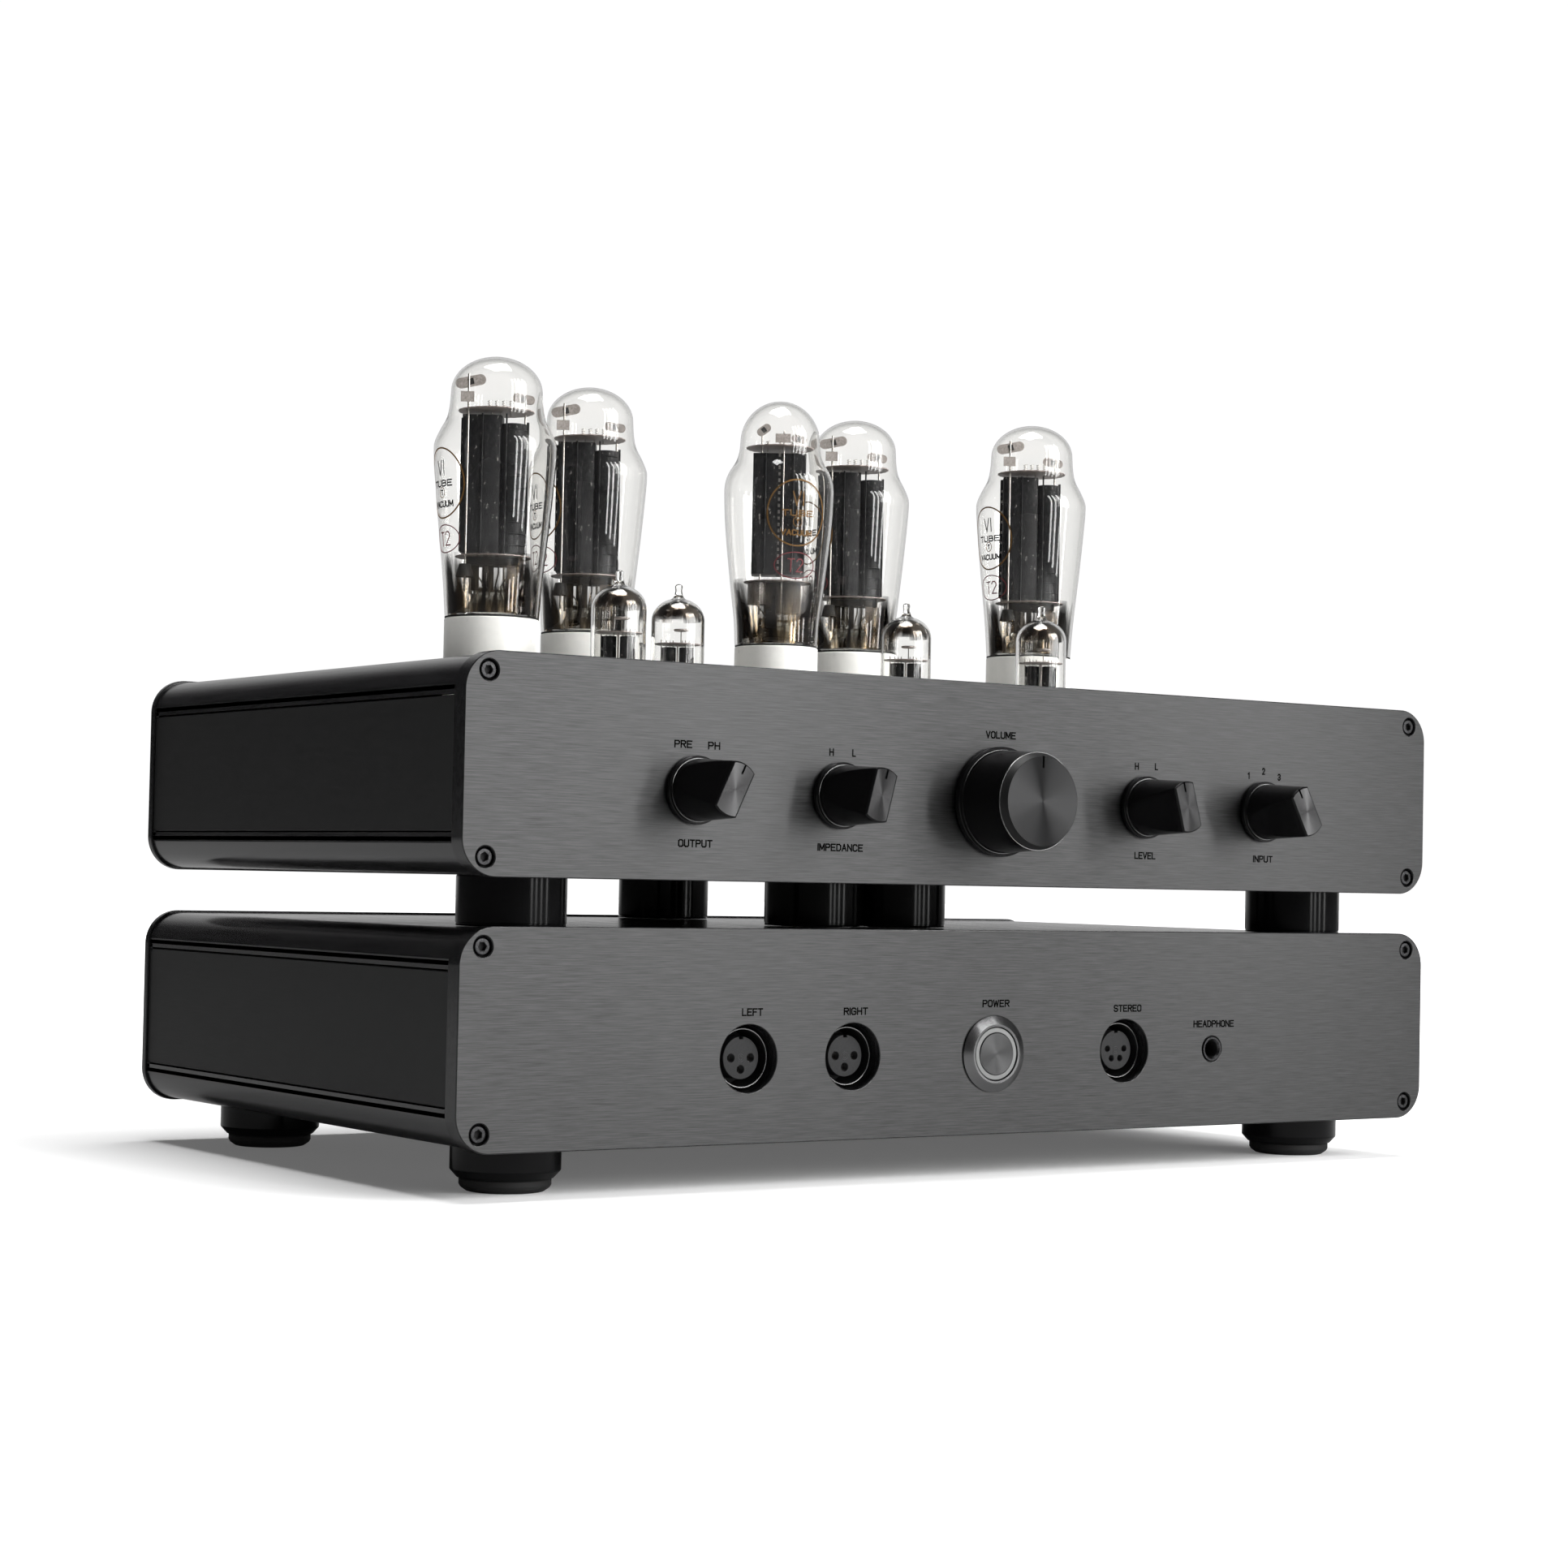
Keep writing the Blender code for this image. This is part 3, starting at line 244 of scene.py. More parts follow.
PANEL = brushed("brushed_grey_panel", (0.082, 0.082, 0.0825), 0.36, 1.0, PANEL_GRAIN, 0.28, Anisotropic=0.7)
EDGE = speckled("gloss_black_edge", (0.008, 0.008, 0.0085), 0.2, 0.0, 500, 0.2)
GLOSS = brushed("gloss_black_extrusion", (0.010, 0.010, 0.0105), 0.19, 0.0, COVER_GRAIN, 0.3,
                Specular_IOR_Level=0.65)
SIDE = brushed("satin_black_side", (0.017, 0.017, 0.0173), 0.42, 0.4, SIDE_GRAIN, 0.3,
               Specular_IOR_Level=0.25)
DECK_TOP = brushed("satin_black_deck", (0.03, 0.03, 0.031), 0.34, 0.7, DECK_GRAIN, 0.2)
REAR_FACE = brushed("satin_black_rear", (0.05, 0.05, 0.052), 0.38, 0.9, PANEL_GRAIN, 0.2)
BLACK_TURNED = turned_metal("black_turned_aluminium", (0.003, 0.003, 0.0033), 0.12, 0.0,
                            Specular_IOR_Level=0.14)
KNOB_BODY = turned_metal("black_knob_body", (0.003, 0.003, 0.0032), 0.22, 0.0, Specular_IOR_Level=0.13)
MATT_BLACK = turned_metal("matt_black_cut", (0.008, 0.008, 0.0082), 0.45, 0.0, Specular_IOR_Level=0.15)
KNOB_LINE = turned_metal("knob_bright_edge", (0.2, 0.2, 0.2), 0.25, 1.0)
KNOB_FACE = spun_face("spun_knob_face", (0.042, 0.042, 0.0425), 0.2, 0.97)
STEEL = turned_metal("polished_steel", (0.16, 0.16, 0.162), 0.24, 1.0)
STEEL_SPUN = spun_face("spun_steel_face", (0.1, 0.1, 0.101), 0.32, 0.85)
LAMP_RING = speckled("frosted_lamp_ring", (0.14, 0.142, 0.14), 0.45, 0.0, 1500, 0.05)
RUBBER = speckled("rubber_pad", (0.012, 0.012, 0.012), 0.7, 0.0, 1500, 0.25, 0.05)
SCREW = speckled("blackened_screw_steel", (0.06, 0.06, 0.062), 0.34, 1.0, 2500, 0.6, 0.04)
DARK = speckled("deep_black", (0.004, 0.004, 0.004), 0.6)
MOULDING = speckled("black_moulding", (0.016, 0.016, 0.0165), 0.35, 0.0, 1200, 0.2)
INSERT = speckled("grey_socket_insert", (0.02, 0.02, 0.0205), 0.5, 0.0, 1500, 0.18, Specular_IOR_Level=0.2)
CONTACT = turned_metal("plated_contact", (0.72, 0.70, 0.66), 0.2, 1.0)
BRASS = turned_metal("gold_plated_brass", (0.83, 0.60, 0.27), 0.2, 1.0)
INK = speckled("printed_ink", (0.003, 0.003, 0.003), 0.7, Specular_IOR_Level=0.0)
INK_LIGHT = speckled("printed_ink_light", (0.55, 0.55, 0.55), 0.5)
CERAMIC = speckled("cream_ceramic", (0.95, 0.94, 0.895), 0.32, 0.0, 350, 0.025)
GLASS = clear_glass("bulb_glass", (0.965, 0.962, 0.95))
STEM_GLASS = clear_glass("stem_glass", (0.97, 0.98, 0.95))
ANODE = carbonised("carbonised_anode")
NICKEL = turned_metal("nickel_wire", (0.42, 0.40, 0.37), 0.28, 1.0)
MICA = speckled("mica_disc", (0.20, 0.165, 0.15), 0.4, 0.0, 800, 0.3)
GETTER_PLATE = speckled("getter_plate", (0.34, 0.31, 0.29), 0.42, 0.5, 1500, 0.3)
FLASH = getter_film("brown_getter_flash", 26.0, 51.0,
                    ((0.016, 0.011, 0.008), (0.1, 0.07, 0.04), (0.62, 0.46, 0.26)), 1.2)
SMALL_FLASH = getter_film("silver_getter_dome", -36.0, -25.0,
                          ((0.03, 0.023, 0.017), (0.10, 0.075, 0.057), (0.32, 0.265, 0.21)), 2.4)
EMBLEM = speckled("emblem_gold", (0.15, 0.075, 0.016), 0.4, 0.3, 1500, 0.3)
EMBLEM_RED = speckled("emblem_red", (0.14, 0.02, 0.025), 0.5, 0.0, 1500, 0.2)
BOARD = speckled("green_circuit_board", (0.02, 0.075, 0.045), 0.45, 0.0, 600, 0.3)
LACQUER = speckled("transformer_lacquer", (0.025, 0.025, 0.028), 0.35, 0.2, 500, 0.3)
PLUG_RED = speckled("red_ring", (0.45, 0.02, 0.02), 0.4)
PLUG_WHITE = speckled("white_ring", (0.75, 0.74, 0.70), 0.4)


# Forms


def polar(radius, angle, height=0.0):
    return Vector((radius * math.cos(angle), radius * math.sin(angle), height))


def full_turn(steps):
    return [2 * math.pi * i / steps for i in range(steps)]


def oval(x, y, wide, deep, angles):
    """Points (x, y) round an ellipse at the angles in degrees."""
    return [(x + wide * math.cos(math.radians(a)), y + deep * math.sin(math.radians(a))) for a in angles]


def arc(centre, radius, start, end, steps):
    """Points (x, z) of an arc in degrees."""
    turns = [math.radians(start + (end - start) * i / steps) for i in range(steps + 1)]
    return [(centre[0] + radius * math.cos(a), centre[1] + radius * math.sin(a)) for a in turns]


def smooth(points, steps=4):
    """A Catmull-Rom curve through (radius, height) points."""
    padded = [points[0], *points, points[-1]]
    result = []
    for a, b, c, d in zip(padded, padded[1:], padded[2:], padded[3:]):
        for i in range(steps):
            t = i / steps
            result.append(tuple(
                0.5 * (2 * q + (r - p) * t + (2 * p - 5 * q + 4 * r - s) * t * t
                       + (3 * q - p - 3 * r + s) * t ** 3)
                for p, q, r, s in zip(a, b, c, d)))
    return [*result, points[-1]]


def half_dome(radius, base, top, steps=10):
    """From the rim of a dome to its top, on the axis."""
    turns = [math.pi / 2 * i / steps for i in range(1, steps + 1)]
    return [(radius * max(math.cos(a), 0.0), base + (top - base) * math.sin(a)) for a in turns]


class Shape:
    """The points and faces of one piece, gathered from turned, swept and boxed forms."""

    def __init__(self):
        self.points = []
        self.faces = []
        self.slots = []

    def loft(self, rings, slots=0, caps=True, matrix=None):
        """Joins rings of equal length. slots is one material for all, or a list with one for each band."""
        base = len(self.points)
        count = len(rings[0])
        self.points += [matrix @ Vector(p) if matrix else Vector(p) for ring in rings for p in ring]
        bands = slots if isinstance(slots, list) else [slots] * (len(rings) - 1)
        for r, slot in enumerate(bands):
            for i in range(count):
                j = (i + 1) % count
                a, b = base + r * count, base + (r + 1) * count
                self.faces.append((a + i, b + i, b + j, a + j))
                self.slots.append(slot)
        if caps:
            last = base + (len(rings) - 1) * count
            self.faces += [tuple(range(base, base + count)), tuple(range(last, last + count))]
            self.slots += [bands[0], bands[-1]]

    def turn(self, profile, slots=0, steps=ROUND, closed=False, matrix=None):
        """Turns (radius, height) points about Z. closed joins the last point to the first."""
        profile = [*profile, profile[0]] if closed else profile
        self.loft([[polar(r, a, h) for a in full_turn(steps)] for r, h in profile], slots, False, matrix)

    def wire(self, path, radius, slot=0, sides=8, matrix=None):
        path = [Vector(p) for p in path]
        rings = []
        for i, point in enumerate(path):
            ahead = path[min(i + 1, len(path) - 1)] - path[max(i - 1, 0)]
            turn = ahead.to_track_quat("Z", "Y")
            rings.append([point + turn @ polar(radius, a) for a in full_turn(sides)])
        self.loft(rings, slot, True, matrix)

    def block(self, low, high, slot=0, matrix=None):
        (a, b, c), (x, y, z) = low, high
        self.loft([[(a, b, h), (x, b, h), (x, y, h), (a, y, h)] for h in (c, z)], slot, True, matrix)

    def mesh(self, name, bevel=0.0):
        made = bpy.data.meshes.new(name)
        made.from_pydata([p * MM for p in self.points], [], self.faces)
        made.polygons.foreach_set("material_index", self.slots)
        shape = bmesh.new()
        shape.from_mesh(made)
        bmesh.ops.remove_doubles(shape, verts=shape.verts, dist=WELD)
        bmesh.ops.dissolve_degenerate(shape, edges=shape.edges, dist=WELD)
        bmesh.ops.recalc_face_normals(shape, faces=shape.faces)
        if bevel:
            sharp = [e for e in shape.edges if e.is_manifold and e.calc_face_angle() > math.radians(25)]
            bmesh.ops.bevel(shape, geom=sharp, offset=bevel * MM, segments=2, profile=0.6, affect="EDGES",
                            clamp_overlap=True)
        shape.to_mesh(made)
        shape.free()
        return made


def evaluated_mesh(name, obj):
    """The mesh that an object with modifiers, or a curve, comes to in world space. The object is removed."""
    bpy.context.view_layer.update()
    graph = bpy.context.evaluated_depsgraph_get()
    mesh = bpy.data.meshes.new_from_object(obj.evaluated_get(graph), depsgraph=graph)
    mesh.transform(obj.matrix_world)
    mesh.name = name
    bpy.data.objects.remove(obj, do_unlink=True)
    shape = bmesh.new()
    shape.from_mesh(mesh)
    bmesh.ops.remove_doubles(shape, verts=shape.verts, dist=WELD)
    shape.to_mesh(mesh)
    shape.free()
    return mesh


def loose(name, data):
    obj = bpy.data.objects.new(name, data)
    bpy.context.scene.collection.objects.link(obj)
    return obj


def sheet_form(name, loops, front, back, chamfer=0.0):
    """The first loop of (x, z) points with the others cut out of it, from front to back along Y."""
    curve = bpy.data.curves.new(name, "CURVE")
    curve.dimensions = "2D"
    curve.fill_mode = "BOTH"
    curve.extrude = ((back - front) / 2 - chamfer) * MM
    curve.bevel_depth = chamfer * MM
    curve.bevel_resolution = 1
    curve.offset = -chamfer * MM
    for number, loop in enumerate(loops):
        spline = curve.splines.new("POLY")
        spline.points.add(len(loop) - 1)
        for point, (x, z) in zip(spline.points, loop[::-1] if number else loop):
            point.co = (x * MM, z * MM, 0.0, 1.0)
        spline.use_cyclic_u = True
    obj = loose(name, curve)
    obj.location.y = (front + back) / 2 * MM
    obj.rotation_euler.x = math.pi / 2
    return evaluated_mesh(name, obj)


def cut(mesh, tool):
    """The mesh with the tool's closed form taken out of it."""
    obj = loose(mesh.name + "_solid", mesh)
    cutter = loose(mesh.name + "_tool", tool)
    modifier = obj.modifiers.new("Cut", "BOOLEAN")
    modifier.operation = "DIFFERENCE"
    modifier.object = cutter
    result = evaluated_mesh(mesh.name, obj)
    bpy.data.objects.remove(cutter, do_unlink=True)
    return result


def paint(mesh, rule):
    """Gives each face the material number that rule(face) returns."""
    mesh.polygons.foreach_set("material_index", [rule(face) for face in mesh.polygons])


def piece(name, form, materials, body="chassis", node=None, at=(0, 0, 0), turn=Matrix.Identity(4), crease=18):
    """Adds a Shape or a mesh: shaded, coloured, riding on its body, and standing for the node if given."""
    mesh = form.mesh(name) if isinstance(form, Shape) else form
    obj = loose(name, mesh)
    if not mesh.materials:
        for material in materials:
            mesh.materials.append(material)
    mesh.shade_smooth()
    mesh.set_sharp_from_angle(angle=math.radians(crease))
    obj.matrix_world = Matrix.Translation(Vector(at) * MM) @ turn
    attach(obj, body)
    if node:
        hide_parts(node)


def stand_in(node, form, materials, at=(0, 0, 0), turn=Matrix.Identity(4), body="chassis"):
    """Adds the fine piece that stands for a CAD node."""
    piece(node + "_fine", form, materials, body, node, at, turn)


def on_front(place):
    return (place.x, FRONT, place.z)


def facing_front(degrees=0.0):
    """Turns a form's Z axis to the front, then turns the form by degrees about that axis."""
    return Matrix.Rotation(math.radians(degrees), 4, "Y") @ Matrix.Rotation(math.pi / 2, 4, "X")


FACING_BACK = Matrix.Rotation(-math.pi / 2, 4, "X")


def circle(x, z, radius, steps=ROUND):
    return arc((x, z), radius, 0, 360 * (1 - 1 / steps), steps - 1)


def rounded_rectangle(x, z, width, height, radius, steps=16):
    w, h = width / 2 - radius, height / 2 - radius
    return (arc((x + w, z - h), radius, -90, 0, steps) + arc((x + w, z + h), radius, 0, 90, steps)
            + arc((x - w, z + h), radius, 90, 180, steps) + arc((x - w, z - h), radius, 180, 270, steps))


# Housings

SCREW_INSET = (8.9, 6.6)
SOCKETS = {name: middle(name) for name in ("xlr_socket_left", "xlr_socket_right", "xlr_socket_stereo")}
JACK = middle("headphone_jack")
POWER = middle("power_button")
CONTROLS = ("output", "impedance", "volume", "level", "input")
POSTS = ("pillar_front_left", "pillar_front_right", "pillar_rear")
CONDUITS = ("conduit_left", "conduit_right")
CONDUIT_BORE = 12.0
XLR_HOLE = 11.8
JACK_HOLE = 4.95
SWITCH_HOLE = 12.4
SHAFT_HOLE = 4.0
PHONO_HOLE = 5.3
SCREW_HOLE = 3.6
LARGE_TUBE_HOLE = 19.55
SMALL_TUBE_HOLE = 11.95


def screw_places(bottom):
    x, z = HALF_WIDTH - SCREW_INSET[0], SCREW_INSET[1]
    return [(side * x, height) for side in (-1, 1) for height in (bottom + z, bottom + TIER - z)]


def cap_screw():
    """A socket head: a chamfered round head with a knurled side and a hexagon cut into it."""
    shape = Shape()
    turns = full_turn(ROUND)

    def ring(radius, height):
        return [polar(radius, a, height) for a in turns]

    def knurl(radius, height):
        return [polar(radius + 0.06 * math.cos(24 * a), a, height) for a in turns]

    def hexagon(across, height):
        sixth = math.pi / 3
        return [polar(across / math.cos(a % sixth - sixth / 2), a, height) for a in turns]

    shape.loft([ring(2.9, -3.0), knurl(2.9, -2.9), knurl(2.9, -0.95), ring(2.62, -0.62), ring(2.5, -0.6),
                hexagon(1.5, -0.6), hexagon(1.38, -0.75), hexagon(1.38, -2.3)], [0, 0, 0, 0, 0, 1, 1])
    # The cup behind the head is deep black: painted shade in the gap between the head and its hole.
    shape.turn([(3.62, -0.1), (3.72, -3.2), (0.0, -3.2)], 1)
    mesh = shape.mesh("cap_screw")
    # The floor of the hexagon is deep black too: painted shade deep in the socket.
    paint(mesh, lambda face: 1 if face.center.z < -2.25 * MM else face.material_index)
    return mesh


def add_screws(tier, bottom, mesh):
    for side, surface, turn in (("front", FRONT, facing_front()), ("rear", REAR, FACING_BACK)):
        for number, (x, z) in enumerate(screw_places(bottom)):
            spin = Matrix.Rotation(0.7 * number + (0.4 if side == "front" else 0.9), 4, "Z")
            piece(f"{tier}_{side}_screw_{number}", mesh, (SCREW, DARK), "chassis",
                  at=(x, surface, z), turn=turn @ spin)


def plate_loops(bottom, holes):
    outline = rounded_rectangle(0, bottom + TIER / 2, 2 * HALF_WIDTH, TIER, CORNER, 24)
    return [outline, *holes, *(circle(x, z, SCREW_HOLE, 48) for x, z in screw_places(bottom))]


def add_plate(node, bottom, holes, outward, face, chamfer=0.35):
    low, high = box(node)
    mesh = sheet_form(node + "_fine", plate_loops(bottom, holes), low.y, high.y, chamfer)
    paint(mesh, lambda f: 0 if f.normal.y * outward > 0.99 else 1)
    stand_in(node, mesh, (face, EDGE))


def cover_section(height, direction):
    """The section of a cover: web, round corners, and flanges with a fine V groove above their edge."""
    inset = UPPER + TIER - DECK
    radius = CORNER - inset
    half = HALF_WIDTH - inset
    x = half - radius
    reach = inset - FLANGE
    groove = reach + 3.2
    outer_right = [(half, reach), (half, groove - 0.3), (half - 0.35, groove), (half, groove + 0.3)]
    outer = (outer_right + arc((x, -radius), radius, 0, 90, 20) + arc((-x, -radius), radius, 90, 180, 20)
             + [(-px, pz) for px, pz in outer_right[::-1]])
    inner = ([(WALL - half, reach)] + arc((-x, -radius), radius - WALL, 180, 90, 12)
             + arc((x, -radius), radius - WALL, 90, 0, 12) + [(half - WALL, reach)])
    return [(px, height + direction * pz) for px, pz in outer + inner]


def add_cover(node, direction, holes):
    low, high = box(node)
    height = high.z if direction > 0 else low.z
    mesh = sheet_form(node + "_fine", [cover_section(height, direction)], low.y, high.y)
    if holes:
        tool = Shape()
        for (x, y), radius in holes:
            tool.turn([(0, height + 6), (radius, height + 6), (radius, height - 6), (0, height - 6)],
                      matrix=Matrix.Translation((x, y, 0)))
        mesh = cut(mesh, tool.mesh(node + "_bores"))
    paint(mesh, lambda f: 1 if f.normal.z * direction > 0.999 else 0)
    stand_in(node, mesh, (GLOSS, DECK_TOP))


def add_side(node):
    low, high = box(node)
    outer = high.x if high.x > 0 else low.x
    inner = low.x if high.x > 0 else high.x
    side = 1 if outer > 0 else -1
    shape = Shape()
    lip = 0.35
    edge = outer - side * lip
    bottom, top = low.z + 2.0, high.z - 2.0
    section = [(edge, bottom), (outer, bottom + lip), (outer, top - lip), (edge, top),
               (inner, top), (inner, bottom)]
    shape.loft([[(x, y, z) for x, z in section] for y in (low.y, high.y)])
    stand_in(node, shape, (SIDE,))
    notch = Shape()
    reach = high.x - 0.25 * (side > 0)
    for z in (bottom - 0.5, top + 0.5):
        notch.block((low.x, high.y - 2.2, z - 1.3), (reach, high.y, z + 1.3))
    piece(node + "_stops", notch, (DARK,))


def tube_spots():
    bases = [*(f"power_tube_{i}_base" for i in range(1, 5)), "rectifier_base"]
    large = {name: middle(name) for name in bases}
    small = {f"driver_tube_{i}": middle(f"driver_tube_{i}") for i in range(1, 5)}
    return large, small


def add_housings():
    xlr_holes = [circle(s.x, s.z, XLR_HOLE) for s in SOCKETS.values()]
    jack_hole = [circle(JACK.x, JACK.z, JACK_HOLE, 64), circle(POWER.x, POWER.z, SWITCH_HOLE)]
    add_plate("lower_front_plate", LOWER, xlr_holes + jack_hole, -1, PANEL)
    shafts = [middle(f"{name}_shaft") for name in CONTROLS]
    shaft_holes = [circle(s.x, s.z, SHAFT_HOLE, 48) for s in shafts]
    add_plate("upper_front_plate", UPPER, shaft_holes, -1, PANEL)
    inlet = middle("mains_inlet")
    inlet_hole = [rounded_rectangle(inlet.x, inlet.z, 28.0, 20.6, 1.0, 4)]
    add_plate("lower_rear_plate", LOWER, inlet_hole, 1, REAR_FACE, 0.3)
    phono_holes = [circle(x, z, PHONO_HOLE, 48) for x, z in phono_places()]
    add_plate("upper_rear_plate", UPPER, phono_holes, 1, REAR_FACE, 0.3)
    screw = cap_screw()
    add_screws("lower", LOWER, screw)
    add_screws("upper", UPPER, screw)
    conduits = [(middle(node).xy, CONDUIT_BORE) for node in CONDUITS]
    large, small = tube_spots()
    deck_holes = [(spot.xy, LARGE_TUBE_HOLE) for spot in large.values()]
    deck_holes += [(spot.xy, SMALL_TUBE_HOLE) for spot in small.values()]
    add_cover("lower_top_cover", 1, conduits)
    add_cover("lower_base_cover", -1, [])
    add_cover("upper_top_cover", 1, deck_holes)
    add_cover("upper_base_cover", -1, conduits)
    for tier in ("lower", "upper"):
        for side in ("left", "right"):
            add_side(f"{tier}_side_panel_{side}")
    trim = Shape()
    for (x, y), radius in deck_holes:
        section = [(radius, 0.02), (radius - 0.1, -0.6), (radius - 0.6, -0.6), (radius - 0.6, 0.35),
                   (radius - 0.35, 0.6), (radius + 0.75, 0.6), (radius + 1.0, 0.35), (radius + 1.0, 0.02)]
        trim.turn(section, closed=True, matrix=Matrix.Translation((x, y, DECK)))
    piece("deck_hole_trims", trim, (BLACK_TURNED,))


# Feet and posts


def post_profile(outer, bore, length):
    """From the top of a post to its foot, with a fine groove round the foot."""
    return [(bore, length), (outer - 0.4, length), (outer, length - 0.5), (outer, 1.2), (outer - 0.25, 1.0),
            (outer - 0.25, 0.7), (outer - 0.05, 0.5), (outer - 0.3, 0), (bore, 0)]


def add_supports():
    foot = Shape()
    shoulder = 7.2
    top = LOWER + 0.6
    foot.turn([(0, top), (19.0, top), (19.0, shoulder + 0.4), (18.85, shoulder), (16.6, 4.75), (0, 4.75)], 0)
    foot.turn([(0, 4.75), (15.2, 4.75), (15.8, 4.2), (15.8, 2.4), (15.2, 1.4), (13.4, 0.15), (12.8, 0.0),
               (6.0, 0.0), (5.6, 0.6), (0, 0.6)], 1)
    foot.turn([(0, 1.4), (4.0, 1.4), (4.4, 0.9), (4.4, 0.5), (0, 0.5)], 2, 48)
    mesh = foot.mesh("foot")
    for row in ("front", "rear"):
        for side in ("left", "right"):
            node = f"foot_{row}_{side}"
            stand_in(node, mesh, (BLACK_TURNED, RUBBER, SCREW), (*middle(node).xy, 0))
    low, high = box("pillar_rear")
    for name, nodes, outer, bore in (("post", POSTS, 19.0, 0), ("pipe", CONDUITS, 18.6, CONDUIT_BORE)):
        shape = Shape()
        shape.turn(post_profile(outer, bore, high.z - low.z), closed=bore > 0)
        mesh = shape.mesh(name)
        for node in nodes:
            stand_in(node, mesh, (BLACK_TURNED,), (*middle(node).xy, low.z))


# Knobs

POINTERS = {"output": 26.0, "impedance": 15.0, "level": -16.0, "input": -29.0}


def cut_circle(radius, half, height, arc_steps=28, flat_steps=10):
    """A circle with its left and right cut off straight at half, as one section of a knob."""
    corner = math.acos(min(half / radius, 0.9999))
    rise = radius * math.sin(corner)
    points = []
    for start, side in ((corner, -1), (math.pi + corner, 1)):
        sweep = math.pi - 2 * corner
        points += [polar(radius, start + sweep * i / arc_steps, height) for i in range(arc_steps)]
        points += [Vector((side * half, side * rise * (2 * i / flat_steps - 1), height))
                   for i in range(flat_steps)]
    return points


def slotted(name, shape, length, outer, size, bevel):
    width, reach = size
    tool = Shape()
    tool.block((-width / 2, outer - reach, length - 0.6), (width / 2, outer + 1.5, length + 1))
    mesh = cut(shape.mesh(name, bevel), tool.mesh(name + "_slot"))
    paint(mesh, lambda f: 1 if f.normal.z > 0.995 and f.center.z > (length - 0.1) * MM else 0)
    return mesh


def crisp(mesh, slot):
    """Keeps the edges of the faces with one material sharp."""
    keys = {key for face in mesh.polygons if face.material_index == slot for key in face.edge_keys}
    for edge in mesh.edges:
        if edge.key in keys:
            edge.use_edge_sharp = True


def add_knob(name, mesh, flange, rest):
    node = f"{name}_knob"
    at = on_front(middle(node))
    turn = facing_front(rest)
    body = f"{name}_control"
    stand_in(node, mesh, (KNOB_BODY, KNOB_FACE, MATT_BLACK), at, turn, body)
    crisp(mesh, 1)
    piece(node + "_flange", flange, (KNOB_BODY, KNOB_LINE), body, at=at, turn=turn)


def knob_flange(name, outer, thickness, inner):
    """The disc under a knob, with a thin bright line where the knob stands on it."""
    shape = Shape()
    shape.turn([(0, 0.45), (outer - 0.25, 0.45), (outer, 0.7), (outer, thickness - 0.3),
                (outer - 0.3, thickness), (0, thickness)], 0)
    shape.turn([(inner + 0.12, thickness), (inner + 0.12, thickness + 0.22), (inner - 0.4, thickness + 0.3),
                (inner - 0.4, thickness)], 1, closed=True)
    return shape.mesh(name)


def add_knobs():
    length, flange, base, rim, half = 25.0, 2.4, 10.8, 9.6, 4.7
    small = Shape()
    sections = []
    for z in (flange, 6, 10, 14, 18, 21.5, length - 0.45):
        t = (z - flange) / (length - flange)
        radius = base + (rim - base) * t
        sections.append(cut_circle(radius, base + (half - base) * t, z))
    sections.append(cut_circle(rim - 0.4, half - 0.4, length))
    small.loft(sections)
    small_mesh = slotted("small_knob", small, length, rim - 0.4, (0.8, 3.4), 0.16)
    small_flange = knob_flange("small_knob_flange", 11.8, flange, base)
    for name, rest in POINTERS.items():
        add_knob(name, small_mesh, small_flange, rest)
    tall, disc = 26.0, 3.0
    large = Shape()
    large.turn([(0, disc), (18.9, disc), (17.75, 23.1), (17.6, 23.3), (16.25, tall - 0.08), (16.1, tall),
                (0, tall)], steps=192)
    large_mesh = slotted("large_knob", large, tall, 16.25, (0.9, 4.35), 0)
    paint(large_mesh, lambda face: 2 if 0.2 < face.normal.z < 0.9 else face.material_index)
    add_knob("volume", large_mesh, knob_flange("large_knob_flange", 20.15, disc, 18.9), 0.0)
    line = Shape()
    line.turn([(17.82, 22.9), (17.9, 23.1), (17.82, 23.3), (17.3, 23.3), (17.3, 22.9)], 0, 192, True)
    piece("volume_knob_line", line, (KNOB_LINE,), "volume_control",
          at=on_front(middle("volume_knob")), turn=facing_front())


# Front sockets and the switch


